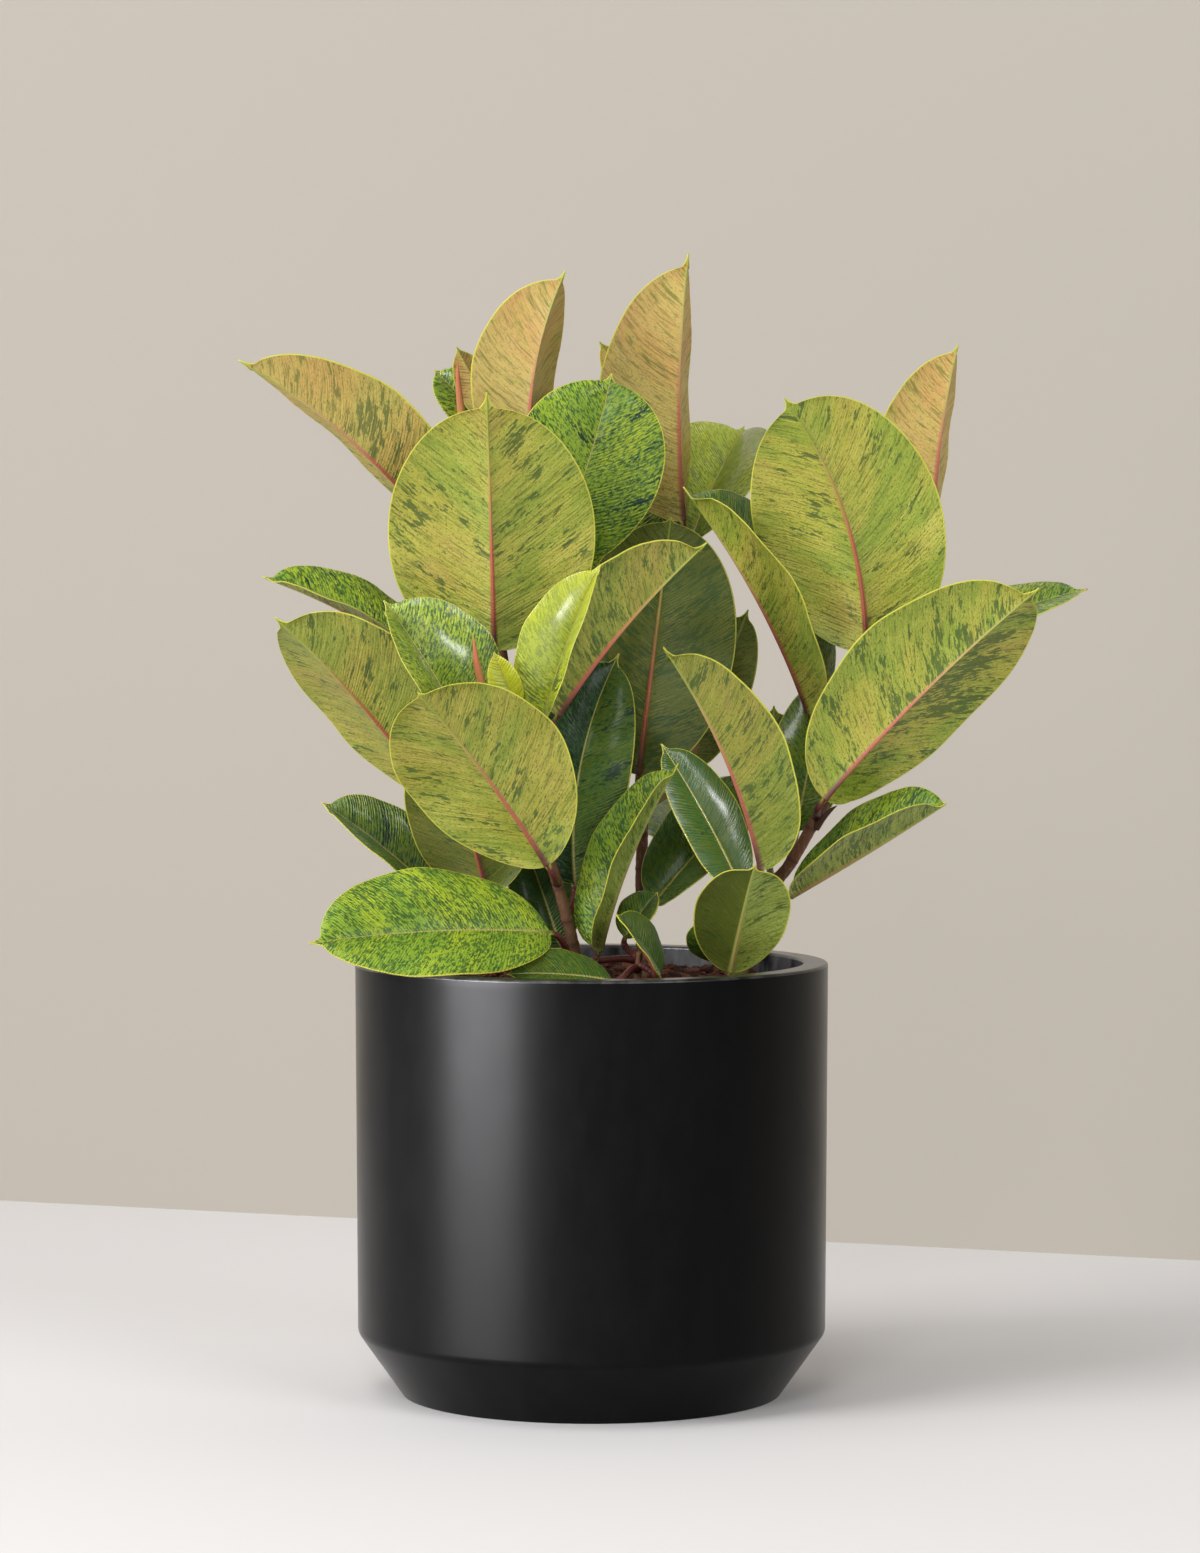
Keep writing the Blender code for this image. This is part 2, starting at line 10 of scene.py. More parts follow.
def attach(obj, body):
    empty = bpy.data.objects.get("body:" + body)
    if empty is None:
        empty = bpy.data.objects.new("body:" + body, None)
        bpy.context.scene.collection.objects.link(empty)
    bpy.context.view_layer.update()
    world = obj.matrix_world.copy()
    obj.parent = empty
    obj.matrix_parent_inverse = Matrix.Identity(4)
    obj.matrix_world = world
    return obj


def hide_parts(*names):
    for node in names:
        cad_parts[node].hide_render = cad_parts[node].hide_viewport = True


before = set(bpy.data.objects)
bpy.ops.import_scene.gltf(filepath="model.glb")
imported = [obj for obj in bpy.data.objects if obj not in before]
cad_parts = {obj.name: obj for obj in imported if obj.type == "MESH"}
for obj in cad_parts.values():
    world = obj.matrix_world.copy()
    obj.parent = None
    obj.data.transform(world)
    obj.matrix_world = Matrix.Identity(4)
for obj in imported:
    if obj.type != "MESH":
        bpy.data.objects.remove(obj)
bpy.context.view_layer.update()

mm = 0.001
scene = bpy.context.scene
print("frame loaded:", len(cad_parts), "nodes")


# Procedural finishes

class Finish:
    # a Principled material and short words for the nodes that paint it
    def __init__(self, name, roughness, coat=0.0, coatRoughness=0.2, specular=0.5):
        self.material = bpy.data.materials.new(name)
        self.material.use_nodes = True
        self.tree = self.material.node_tree
        self.shader = self.tree.nodes["Principled BSDF"]
        self.shader.inputs["Roughness"].default_value = roughness
        self.shader.inputs["Coat Weight"].default_value = coat
        self.shader.inputs["Coat Roughness"].default_value = coatRoughness
        self.shader.inputs["Specular IOR Level"].default_value = specular

    def feed(self, socket, value):
        if isinstance(value, bpy.types.NodeSocket):
            self.tree.links.new(value, socket)
        elif isinstance(value, tuple) and socket.type == "RGBA":
            socket.default_value = (*value, 1.0)
        else:
            socket.default_value = value

    def node(self, kind, inputs, **choices):
        made = self.tree.nodes.new("ShaderNode" + kind)
        for name, value in choices.items():
            setattr(made, name, value)
        for key, value in inputs.items():
            self.feed(made.inputs[key], value)
        return made

    def attribute(self, name):
        return self.node("Attribute", {}, attribute_name=name).outputs["Vector"]

    def objectPlace(self):
        return self.node("TexCoord", {}).outputs["Object"]

    def split(self, vector):
        return self.node("SeparateXYZ", {0: vector}).outputs

    def stretch(self, vector, by):
        return self.node("VectorMath", {0: vector, 1: by}, operation="MULTIPLY").outputs[0]

    def grain(self, vector, scale, detail, rough):
        inputs = {"Vector": vector, "Scale": scale, "Detail": detail, "Roughness": rough}
        return self.node("TexNoise", inputs).outputs["Fac"]

    def plus(self, first, second):
        return self.node("Math", {0: first, 1: second}, operation="ADD").outputs[0]

    def minus(self, first, second):
        return self.node("Math", {0: first, 1: second}, operation="SUBTRACT").outputs[0]

    def times(self, first, second):
        return self.node("Math", {0: first, 1: second}, operation="MULTIPLY").outputs[0]

    def wave(self, value):
        return self.node("Math", {0: value}, operation="SINE").outputs[0]

    def ramp(self, value, low, high, start=0.0, end=1.0):
        inputs = {"Value": value, "From Min": low, "From Max": high, "To Min": start, "To Max": end}
        return self.node("MapRange", inputs, interpolation_type="SMOOTHSTEP").outputs[0]

    def mix(self, share, first, second):
        made = self.node("Mix", {}, data_type="RGBA")
        for index, value in ((0, share), (6, first), (7, second)):      # the factor and the two colours
            self.feed(made.inputs[index], value)
        return made.outputs[2]

    def colours(self, value, stops):
        made = self.node("ValToRGB", {0: value})
        line = made.color_ramp.elements
        while len(line) < len(stops):
            line.new(0.5)
        for spot, (place, colour) in zip(line, stops):
            spot.position = place
            spot.color = (*colour, 1.0)
        return made.outputs["Color"]

    def paint(self, colour):
        self.feed(self.shader.inputs["Base Color"], colour)

    def emboss(self, height, distance):
        bump = self.node("Bump", {"Height": height, "Distance": distance, "Strength": 1.0})
        self.feed(self.shader.inputs["Normal"], bump.outputs["Normal"])


# Meshes and pieces

onlyLit = {}        # piece name to the collection that its own lamp lights


def loftMesh(name, rings):
    # a closed skin over rings of equal count, with a point at the middle of each end
    count = len(rings[0])
    points = [p for ring in rings for p in ring]
    points += [sum(rings[0], Vector()) / count, sum(rings[-1], Vector()) / count]
    faces = []
    for row in range(len(rings) - 1):
        low = row * count
        for k in range(count):
            n = (k + 1) % count
            faces.append((low + k, low + n, low + count + n, low + count + k))
    first, last = len(points) - 2, len(points) - 1
    end = (len(rings) - 1) * count
    for k in range(count):
        n = (k + 1) % count
        faces.append((k, first, n))
        faces.append((end + k, end + n, last))
    mesh = bpy.data.meshes.new(name)
    mesh.from_pydata(points, [], faces)
    return mesh


def turnedMesh(name, profile, turns):
    # the profile, in millimetres, starts and ends in level faces that close over the axis
    angles = [2 * math.pi * k / turns for k in range(turns)]
    return loftMesh(name, [[Vector((r * mm * math.cos(a), r * mm * math.sin(a), z * mm)) for a in angles]
                           for r, z in reversed(profile)])


def setVectors(mesh, name, values):
    layer = mesh.attributes.new(name, "FLOAT_VECTOR", "POINT")
    layer.data.foreach_set("vector", [number for value in values for number in value])


def addPiece(name, mesh, node, finishes):
    # most pieces stand for a CAD node, and each rides on the one body
    mesh.validate()
    mesh.update()
    mesh.shade_smooth()
    piece = bpy.data.objects.new(name, mesh)
    scene.collection.objects.link(piece)
    for finish in finishes:
        mesh.materials.append(finish)
    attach(piece, "root")
    if node:
        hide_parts(node)
    if name in onlyLit:
        onlyLit[name].objects.link(piece)


# Camera, lights, floor and backdrop

cameraSettings = {"place": (0.0055, -3.1294, 0.5350), "pitchDown": 2.346, "lens": 110.3, "sensor": 36.0,
                  "clipEnd": 50.0}
lightSettings = {
    "softboxLeft": {"place": (-3.00, -1.90, 1.45), "aim": (0.0, 0.0, 0.35), "size": (1.7, 2.6),
                    "power": 111.0, "colour": (1.0, 0.985, 0.965)},
    "topPanel": {"place": (-1.5, -0.7, 3.5), "aim": (0.0, 0.0, 0.3), "size": (2.8, 2.8),
                 "power": 62.0, "colour": (1.0, 0.99, 0.98)},
    "fillFront": {"place": (-0.55, -3.5, 2.45), "aim": (0.0, 0.0, 0.4), "size": (1.3, 1.3),
                  "power": 44.0, "colour": (0.98, 0.99, 1.0)},
    "fillRight": {"place": (2.6, -3.0, 1.8), "aim": (0.0, 0.0, 0.4), "size": (2.0, 1.6),
                  "power": 63.0, "colour": (0.98, 0.99, 1.0)},
    # the last three light only the pieces that they name
    "stripLeft": {"place": (-1.74, -1.34, 0.38), "aim": (0.0, 0.0, 0.15), "size": (1.45, 0.76),
                  "power": 192.0, "colour": (0.97, 0.97, 1.0), "onlyFor": ("planter_turned",)},
    "glossLow": {"place": (0.12, -1.70, 0.14), "aim": (-0.08, -0.1, 0.45), "size": (0.24, 0.16),
                 "power": 3.2, "colour": (1.0, 1.0, 1.0), "onlyFor": ("blade_front_06", "blade_front_07")},
    "glossRight": {"place": (1.12, -1.12, 0.36), "aim": (0.07, -0.03, 0.38), "size": (0.26, 0.22),
                   "power": 13.0, "colour": (1.0, 1.0, 1.0), "onlyFor": ("blade_right_07",)},
}
backdropSettings = {
    "floor": (0.772, 0.759, 0.765), "far": 6.0, "fadeFrom": 1.6, "fadeTo": 5.5, "farGlow": 0.85,
    "wall": (0.200, 0.184, 0.163), "wallGlow": (0.305, 0.279, 0.243), "wallHeight": 4.0,
    "farLeft": (-4.0, 2.25), "farRight": (4.0, -0.69), "roughness": 0.9, "specular": 0.2,
    "seen": (0.565, 0.520, 0.452), "room": (0.035, 0.035, 0.036),
}


def makeCamera(settings):
    data = bpy.data.cameras.new("camera")
    data.lens = settings["lens"]
    data.sensor_width = settings["sensor"]
    data.clip_end = settings["clipEnd"]
    camera = bpy.data.objects.new("camera", data)
    camera.location = settings["place"]
    camera.rotation_euler = (math.radians(90.0 - settings["pitchDown"]), 0.0, 0.0)
    scene.collection.objects.link(camera)
    scene.camera = camera


def makeLights(settings):
    for name, values in settings.items():
        data = bpy.data.lights.new(name, "AREA")
        data.shape = "RECTANGLE"
        data.size, data.size_y = values["size"]
        data.energy = values["power"]
        data.color = values["colour"]
        lamp = bpy.data.objects.new(name, data)
        lamp.location = values["place"]
        aim = Vector(values["aim"]) - Vector(values["place"])
        lamp.rotation_euler = aim.to_track_quat("-Z", "Y").to_euler()
        scene.collection.objects.link(lamp)
        lamp.visible_camera = False
        if "onlyFor" in values:
            lit = bpy.data.collections.new(name + "Lights")
            lamp.light_linking.receiver_collection = lit
            lamp.light_linking.blocker_collection = lit
            for piece in values["onlyFor"]:
                onlyLit[piece] = lit


def makeSheet(name, corners, colour, settings):
    mesh = bpy.data.meshes.new(name)
    mesh.from_pydata(corners, [], [(0, 1, 2, 3)])
    sheet = bpy.data.objects.new(name, mesh)
    scene.collection.objects.link(sheet)
    f = Finish(name + "Paint", settings["roughness"], specular=settings["specular"])
    f.paint(colour)
    mesh.materials.append(f.material)
    return sheet, f


def makeFloor(settings):
    far = settings["far"]
    _, f = makeSheet("studioFloor", [(-far, -far, 0), (far, -far, 0), (far, far, 0), (-far, far, 0)],
                     settings["floor"], settings)
    # the lamps fade far from the object, so the floor glows there where it is looked at
    away = f.node("VectorMath", {0: f.objectPlace()}, operation="LENGTH").outputs["Value"]
    glow = f.ramp(away, settings["fadeFrom"], settings["fadeTo"], 0.0, settings["farGlow"])
    f.feed(f.shader.inputs["Emission Color"], settings["floor"])
    f.feed(f.shader.inputs["Emission Strength"],
           f.times(glow, f.node("LightPath", {}).outputs["Is Camera Ray"]))


def makeWall(settings):
    high = settings["wallHeight"]
    (leftX, leftY), (rightX, rightY) = settings["farLeft"], settings["farRight"]
    corners = [(leftX, leftY, 0), (rightX, rightY, 0), (rightX, rightY, high), (leftX, leftY, high)]
    wall, f = makeSheet("studioWall", corners, settings["wall"], settings)
    wall.visible_shadow = False
    f.feed(f.shader.inputs["Emission Color"], settings["wallGlow"])
    f.feed(f.shader.inputs["Emission Strength"], 1.0)
    # seen from behind, the wall lets the view through
    through = f.node("MixShader", {0: f.node("NewGeometry", {}).outputs["Backfacing"],
                                   1: f.shader.outputs[0], 2: f.node("BsdfTransparent", {}).outputs[0]})
    f.feed(f.tree.nodes["Material Output"].inputs["Surface"], through.outputs[0])


def makeRoom(settings):
    # the camera looks into a pale room, and the object stands in a dim one
    world = bpy.data.worlds.new("studio")
    world.use_nodes = True
    tree = world.node_tree
    room = tree.nodes["Background"]
    room.inputs["Color"].default_value = (*settings["room"], 1.0)
    seen = tree.nodes.new("ShaderNodeBackground")
    seen.inputs["Color"].default_value = (*settings["seen"], 1.0)
    mix = tree.nodes.new("ShaderNodeMixShader")
    tree.links.new(tree.nodes.new("ShaderNodeLightPath").outputs["Is Camera Ray"], mix.inputs[0])
    tree.links.new(room.outputs[0], mix.inputs[1])
    tree.links.new(seen.outputs[0], mix.inputs[2])
    tree.links.new(mix.outputs[0], tree.nodes["World Output"].inputs["Surface"])
    scene.world = world


scene.view_settings.view_transform = "Standard"
makeCamera(cameraSettings)
makeLights(lightSettings)
for make in (makeFloor, makeWall, makeRoom):
    make(backdropSettings)
print("camera, lights and backdrop ready")


# Leaf finishes

leafFinish = {
    "roughUnder": 0.48, "roughUpper": 0.30, "coatRoughness": 0.15, "specularUnder": 0.4,
    "veinSpacing": 0.0021, "veinWander": 16.0, "marginWidth": 0.0009, "petioleSpan": 0.3,
    "bumpUnder": 0.00014, "bumpUpper": 0.00050,
    "glossy": (0.60, 0.50), "dull": (0.12, 0.20),       # coat and specular level of the upper side
    # how strongly each mark of the underside shows
    "paleStreaks": 0.50, "darkStreaks": 0.75, "paleVeins": 0.20, "specks": 0.70, "flecked": 0.80,
    # the level that the noise must reach for a dark mark, and how much a blotched leaf lowers it
    "fleckNeed": 0.630, "fleckEase": 0.16, "patchNeed": 0.690, "patchEase": 0.20,
    # noise scale, stretch along the side veins, detail, roughness
    "wander": (120.0, 0.30, 3.0, 0.50),
    "fade": (60.0, 0.50, 2.0, 0.50),
    "underBroad": (30.0, 0.50, 4.0, 0.60),
    "underStreak": (560.0, 0.12, 4.0, 0.65),
    "underDash": (480.0, 0.30, 3.0, 0.62),
    "underSpeck": (1250.0, 0.50, 2.0, 0.60),
    "underPatch": (85.0, 0.45, 5.0, 0.70),
    "upperBroad": (40.0, 0.45, 4.0, 0.60),
    "upperFine": (640.0, 0.55, 4.0, 0.68),
    "upperStreak": (300.0, 0.15, 4.0, 0.65),
    "upperPatch": (90.0, 0.30, 6.0, 0.74),
    "oliveYellow": (0.400, 0.385, 0.050),
    "oliveGreen": (0.260, 0.335, 0.034),
    "oliveTan": (0.410, 0.300, 0.065),
    "flecks": (0.038, 0.082, 0.012),
    "paleVein": (0.490, 0.470, 0.100),
    "shade": (0.110, 0.140, 0.016),
    "youngPeach": (0.610, 0.430, 0.135),
    "youngOrange": (0.610, 0.310, 0.105),
    "youngFlecks": (0.240, 0.200, 0.050),
    "youngUpper": (0.500, 0.510, 0.022),
    "freshGreen": (0.270, 0.360, 0.065),
    "freshRib": (0.330, 0.340, 0.080),
    "lime": (0.420, 0.520, 0.034),
    "leafGreen": (0.230, 0.370, 0.034),
    "upperFlecks": (0.036, 0.105, 0.024),
    "blueGreen": (0.014, 0.044, 0.021),
    # the next two: colours of dark leaves, also used as painted shade
    "deepGreenAndShade": (0.012, 0.031, 0.008),
    "deepOliveAndShade": (0.060, 0.078, 0.007),
    "margin": (0.560, 0.540, 0.060),
    "petiole": (0.110, 0.026, 0.022),
    "ribBase": (0.360, 0.085, 0.055),
    "ribMiddle": (0.470, 0.120, 0.078),
    "ribEnd": (0.420, 0.330, 0.090),
    "upperRib": (0.480, 0.430, 0.120),
}


def veinGrain(f, place, name):
    scale, along, detail, rough = leafFinish[name]
    return f.grain(f.stretch(place, (1.0, along, 1.0)), scale, detail, rough)


def veinHeight(f, place):
    # fine side veins: ridges along the second coordinate that wander and fade in places
    turns = f.times(f.split(place)[0], 2 * math.pi / leafFinish["veinSpacing"])
    wander = f.times(veinGrain(f, place, "wander"), leafFinish["veinWander"])
    fade = f.ramp(veinGrain(f, place, "fade"), 0.35, 0.65, 0.2, 1.0)
    return f.times(f.wave(f.plus(turns, wander)), fade)


def ribColour(f, along):
    c = leafFinish
    return f.colours(f.ramp(along, -c["petioleSpan"], 1.0),
                     ((0.0, c["petiole"]), (0.18, c["petiole"]), (0.27, c["ribBase"]),
                      (0.55, c["ribMiddle"]), (0.88, c["ribEnd"]), (1.0, c["oliveGreen"])))


# leafSpot: share of the length, distance from the margin, rib or not; leafTone: youth, darkness (the leaf's
# own dark colour together with painted shade), blotches
def undersideFinish():
    c = leafFinish
    f = Finish("leafUnderside", c["roughUnder"], specular=c["specularUnder"])
    place = f.attribute("veinPlace")
    along, inward, onRib = f.split(f.attribute("leafSpot"))
    young, dark, blotched = f.split(f.attribute("leafTone"))
    broad = veinGrain(f, place, "underBroad")
    streak = veinGrain(f, place, "underStreak")
    patch = veinGrain(f, place, "underPatch")
    grown = f.mix(f.ramp(broad, 0.38, 0.58), c["oliveGreen"], c["oliveYellow"])
    grown = f.mix(f.plus(f.ramp(broad, 0.54, 0.72, 0.0, 0.7), f.times(young, 0.9)), grown, c["oliveTan"])
    peach = f.mix(f.ramp(broad, 0.36, 0.66), c["youngPeach"], c["youngOrange"])
    peach = f.mix(f.ramp(patch, 0.50, 0.68, 0.0, 0.55), peach, c["oliveYellow"])
    fresh = f.ramp(young, 0.0, -1.0)
    base = f.mix(fresh, grown, c["freshGreen"])
    base = f.mix(f.ramp(young, 0.35, 0.95), base, peach)
    # darkness turns the underside towards deep olive: partly the leaf's own colour, partly painted shade
    base = f.mix(dark, base, c["deepOliveAndShade"])
    # pale streaks, shade between them and pale veins; dark and painted-shaded leaves show less of the pale
    lively = f.minus(1.0, f.times(dark, 0.85))
    base = f.mix(f.times(f.ramp(streak, 0.50, 0.70, 0.0, c["paleStreaks"]), lively), base, c["paleVein"])
    base = f.mix(f.ramp(streak, 0.50, 0.34, 0.0, c["darkStreaks"]), base, c["shade"])
    vein = veinHeight(f, place)
    base = f.mix(f.times(f.ramp(vein, 0.4, 1.0, 0.0, c["paleVeins"]), lively), base, c["paleVein"])
    # specks, and flecks that gather in clouds
    fleckColour = f.mix(f.ramp(young, 0.45, 0.85), c["flecks"], c["youngFlecks"])
    speck = veinGrain(f, place, "underSpeck")
    base = f.mix(f.ramp(speck, 0.56, 0.63, 0.0, c["specks"]), base, fleckColour)
    level = f.plus(f.times(veinGrain(f, place, "underDash"), 0.50), f.times(patch, 0.58))
    need = f.minus(c["fleckNeed"], f.times(blotched, c["fleckEase"]))
    flecked = f.ramp(f.minus(level, need), 0.0, 0.030)
    base = f.mix(f.times(flecked, c["flecked"]), base, fleckColour)
    base = f.mix(f.ramp(inward, c["marginWidth"] * 1.3, c["marginWidth"] * 0.5), base, c["margin"])
    base = f.mix(onRib, base, f.mix(fresh, ribColour(f, along), c["freshRib"]))
    f.paint(base)
    f.emboss(f.plus(f.times(vein, 0.5), f.times(streak, 2.0)), c["bumpUnder"])
    return f.material


def upperFinish(name, coat, specular):
    c = leafFinish
    f = Finish(name, c["roughUpper"], coat=coat, coatRoughness=c["coatRoughness"], specular=specular)
    place = f.attribute("veinPlace")
    along, inward, onRib = f.split(f.attribute("leafSpot"))
    young, dark, blotched = f.split(f.attribute("leafTone"))
    fine = veinGrain(f, place, "upperFine")
    streak = veinGrain(f, place, "upperStreak")
    patch = veinGrain(f, place, "upperPatch")
    base = f.mix(f.ramp(veinGrain(f, place, "upperBroad"), 0.34, 0.70), c["leafGreen"], c["lime"])
    base = f.mix(f.ramp(streak, 0.52, 0.66, 0.0, 0.5), base, c["leafGreen"])
    base = f.mix(young, base, c["youngUpper"])
    # darkness turns the upper side towards deep green: partly the leaf's own colour, partly painted shade
    base = f.mix(dark, base, c["deepGreenAndShade"])
    # fine flecks, fewer on a young leaf, and patches that gather from them
    calm = f.ramp(young, 0.2, 0.9, 0.88, 0.0)
    uneven = f.times(f.minus(patch, 0.5), 0.30)
    flecked = f.ramp(f.plus(fine, uneven), 0.475, 0.545)
    base = f.mix(f.times(flecked, calm), base, c["upperFlecks"])
    level = f.plus(f.times(fine, 0.34), f.times(patch, 0.72))
    need = f.minus(c["patchNeed"], f.times(blotched, c["patchEase"]))
    base = f.mix(f.ramp(f.minus(level, need), 0.0, 0.05), base, c["blueGreen"])
    base = f.mix(f.ramp(inward, c["marginWidth"] * 1.2, c["marginWidth"] * 0.4), base, c["margin"])
    rib = f.mix(f.ramp(along, -0.05, 0.1), ribColour(f, along), c["upperRib"])
    f.paint(f.mix(onRib, base, rib))
    f.emboss(f.plus(f.times(veinHeight(f, place), 0.4), f.times(streak, 2.5)), c["bumpUpper"])
    return f.material


# Planter: a turned cup in satin black

planterValues = {
    "rimRadius": 155.7, "rimHeight": 284.9, "lipWidth": 16.4, "lipRound": 1.8,
    "creaseRadius": 154.3, "creaseHeight": 41.5, "creaseRound": 9.0,
    "footRadius": 125.6, "footRound": 1.5, "footFrom": -30, "floorThickness": 16.0, "floorCorner": 4.0,
    "turns": 224, "lipSteps": 8, "creaseSteps": 12, "footSteps": 5,
    "innerHeights": (80, 140, 200, 240, 262, 276),
    "wallShares": (0.02, 0.15, 0.35, 0.55, 0.75, 0.9, 0.98), "chamferShares": (0.03, 0.5, 0.97),
    "roughness": 0.41, "smoother": 0.03, "rougher": 0.05, "coatRoughness": 0.28, "specular": 0.04,
    "black": (0.0008, 0.0008, 0.0009), "grit": 0.00004,
    # noise scale, detail, roughness
    "cloud": (22.0, 4.0, 0.6), "rub": (60.0, 5.0, 0.7), "speck": (1400.0, 2.0, 0.5),
    "finishes": (       # name, dust on the black (on the lip and the inside, a much lighter colour that is painted light in place of reflections), IOR of the coat
        ("satinBlack", (0.0022, 0.0021, 0.0021), 1.13),
        # the lip's top: a painted sheen of the studio light, on top of the coat's own reflection
        ("dustyLip", (0.0550, 0.0520, 0.0510), 1.30),
        # the inside: painted light, while its coat hardly reflects
        ("dustyInside", (0.0400, 0.0380, 0.0375), 1.03),
    ),
}


def arcPoints(centreR, centreZ, radius, start, end, steps):
    # points of a round corner, angles in degrees from the outward direction
    angles = [math.radians(start + (end - start) * i / steps) for i in range(steps + 1)]
    return [(centreR + radius * math.cos(a), centreZ + radius * math.sin(a)) for a in angles]


def straightPoints(start, end, shares):
    (startR, startZ), (endR, endZ) = start, end
    return [(startR + (endR - startR) * s, startZ + (endZ - startZ) * s) for s in shares]


def planterFinish(name, dustAndPaintedLight, coatIor):
    v = planterValues
    rough = v["roughness"]
    f = Finish(name, rough, coat=1.0, coatRoughness=v["coatRoughness"], specular=v["specular"])
    f.shader.inputs["Coat IOR"].default_value = coatIor
    place = f.objectPlace()
    cloud = f.grain(place, *v["cloud"])
    rub = f.grain(f.stretch(place, (1.0, 1.0, 0.35)), *v["rub"])
    # rubbed dust on the black; on the lip and the inside this lighter colour is painted light
    f.paint(f.mix(f.ramp(rub, 0.30, 0.78, 0.0, 0.8), v["black"], dustAndPaintedLight))
    f.feed(f.shader.inputs["Roughness"],
           f.ramp(cloud, 0.30, 0.70, rough - v["smoother"], rough + v["rougher"]))
    f.emboss(f.grain(place, *v["speck"]), v["grit"])
    return f.material


def innerRadiusAt(height):
    v = planterValues
    top = v["rimHeight"] - v["lipRound"]
    floorRadius = v["footRadius"] - v["lipWidth"]
    share = (height - v["floorThickness"]) / (top - v["floorThickness"])
    return floorRadius + share * (v["rimRadius"] - v["lipWidth"] - floorRadius)


def planterProfile(rimLow):
    # over the floor inside, up the wall, over the lip, down the outside and back under the foot
    v = planterValues
    inner = v["rimRadius"] - v["lipWidth"]
    turn = math.pi / 2 - math.atan2(v["creaseHeight"], v["creaseRadius"] - v["footRadius"])
    creaseTop = v["creaseHeight"] + v["creaseRound"] * math.tan(turn / 2)
    floorRadius, floorTop = v["footRadius"] - v["lipWidth"], v["floorThickness"]
    lipIn = arcPoints(inner + v["lipRound"], rimLow, v["lipRound"], 180, 90, v["lipSteps"])
    lipOut = arcPoints(v["rimRadius"] - v["lipRound"], rimLow, v["lipRound"], 90, 0, v["lipSteps"])
    crease = arcPoints(v["creaseRadius"] - v["creaseRound"], creaseTop, v["creaseRound"], 0,
                       -math.degrees(turn), v["creaseSteps"])
    foot = arcPoints(v["footRadius"] - v["footRound"], v["footRound"], v["footRound"], v["footFrom"],
                     -90, v["footSteps"])
    lipFlat = v["lipWidth"] - 2 * v["lipRound"]
    return [
        (floorRadius * 0.5, floorTop), (floorRadius - v["floorCorner"], floorTop),
        (floorRadius, floorTop + v["floorCorner"]),
        *[(innerRadiusAt(z), z) for z in v["innerHeights"]],
        *lipIn,
        *[(inner + v["lipRound"] + lipFlat * share, v["rimHeight"]) for share in (0.3, 0.7)],
        *lipOut, *straightPoints(lipOut[-1], crease[0], v["wallShares"]),
        *crease, *straightPoints(crease[-1], foot[0], v["chamferShares"]),
        *foot, (v["footRadius"] * 0.6, 0.0),
    ]


def makePlanter():
    v = planterValues
    rimLow = v["rimHeight"] - v["lipRound"]
    mesh = turnedMesh("planter_turned", planterProfile(rimLow), v["turns"])
    addPiece("planter_turned", mesh, "planter",
             [planterFinish(*values) for values in v["finishes"]])
    # the lip's top and the inside take the finishes whose lighter colour is painted light
    for face in mesh.polygons:
        if face.center.z > rimLow * mm:
            face.material_index = 1
        elif face.normal.dot(Vector((face.center.x, face.center.y, 0.0))) < 0.0:
            face.material_index = 2


makePlanter()
print("planter turned")


# Growing mix: a rough bed with loose bark chips on it

mixValues = {
    "drop": 14.0, "seatGap": 0.3, "rings": 44, "turns": 160, "coreHeights": (250, 200, 150, 100, 60, 30),
    "bottomCorner": 8.0, "relief": 3.2, "grain": 42.0, "fineRelief": 1.1, "fineGrain": 190.0,
    "edgeCalm": 6.0, "bedTone": 0.35,
    "chips": 1150, "seed": 7, "chipLength": (4.0, 15.0), "chipFewLong": 2.2,
    "chipWidth": (0.22, 0.38), "chipThickness": (0.10, 0.22), "chipReach": 0.55,    # shares of its length
    "chipEnds": (0.55, 1.0), "chipSides": (0.5, 1.0), "chipBulge": (1.0, 1.2), "chipDrift": 0.4,
    "chipTilt": 0.4, "chipTurn": 6.28,                                              # radians
    "chipOut": (0.1, 0.9), "chipRoom": 1.5, "grainShift": 0.013, "sharpFrom": 28.0,
    "dark": (0.030, 0.011, 0.007), "red": (0.150, 0.045, 0.022), "tan": (0.270, 0.120, 0.060),
    "fibre": (700.0, 4.0, 0.7), "crumb": (260.0, 5.0, 0.7), "roughness": 0.88, "specular": 0.25,
    "bump": 0.0009,
}


def barkFinish(name):
    v = mixValues
    f = Finish(name, v["roughness"], specular=v["specular"])
    place = f.attribute("barkPlace")
    tone = f.split(f.attribute("barkTone"))
    fibre = f.grain(f.stretch(place, (0.25, 1.0, 1.0)), *v["fibre"])
    crumb = f.grain(place, *v["crumb"])
    base = f.mix(f.ramp(f.plus(tone[0], f.minus(crumb, 0.5)), 0.1, 0.9), v["dark"], v["red"])
    base = f.mix(f.ramp(fibre, 0.55, 0.75, 0.0, 0.5), base, v["tan"])
    base = f.mix(f.ramp(crumb, 0.50, 0.28, 0.0, 0.8), base, v["dark"])
    f.paint(base)
    f.emboss(f.plus(fibre, crumb), v["bump"])
    return f.material


def mixTop():
    return planterValues["rimHeight"] - mixValues["drop"]


def bedRadiusAt(height):
    return innerRadiusAt(height) - 2 * mixValues["seatGap"]


def mixSurface(x, y):
    # height of the bed in metres at a place in metres
    v = mixValues
    room = bedRadiusAt(mixTop()) * mm - math.hypot(x, y)
    calm = max(0.0, min(1.0, room / (v["edgeCalm"] * mm)))
    spot = Vector((x, y, mixTop() * mm))
    broad, fine = noise.noise(spot * v["grain"]), noise.noise(spot * v["fineGrain"])
    return (mixTop() + (v["relief"] * broad + v["fineRelief"] * fine) * calm) * mm


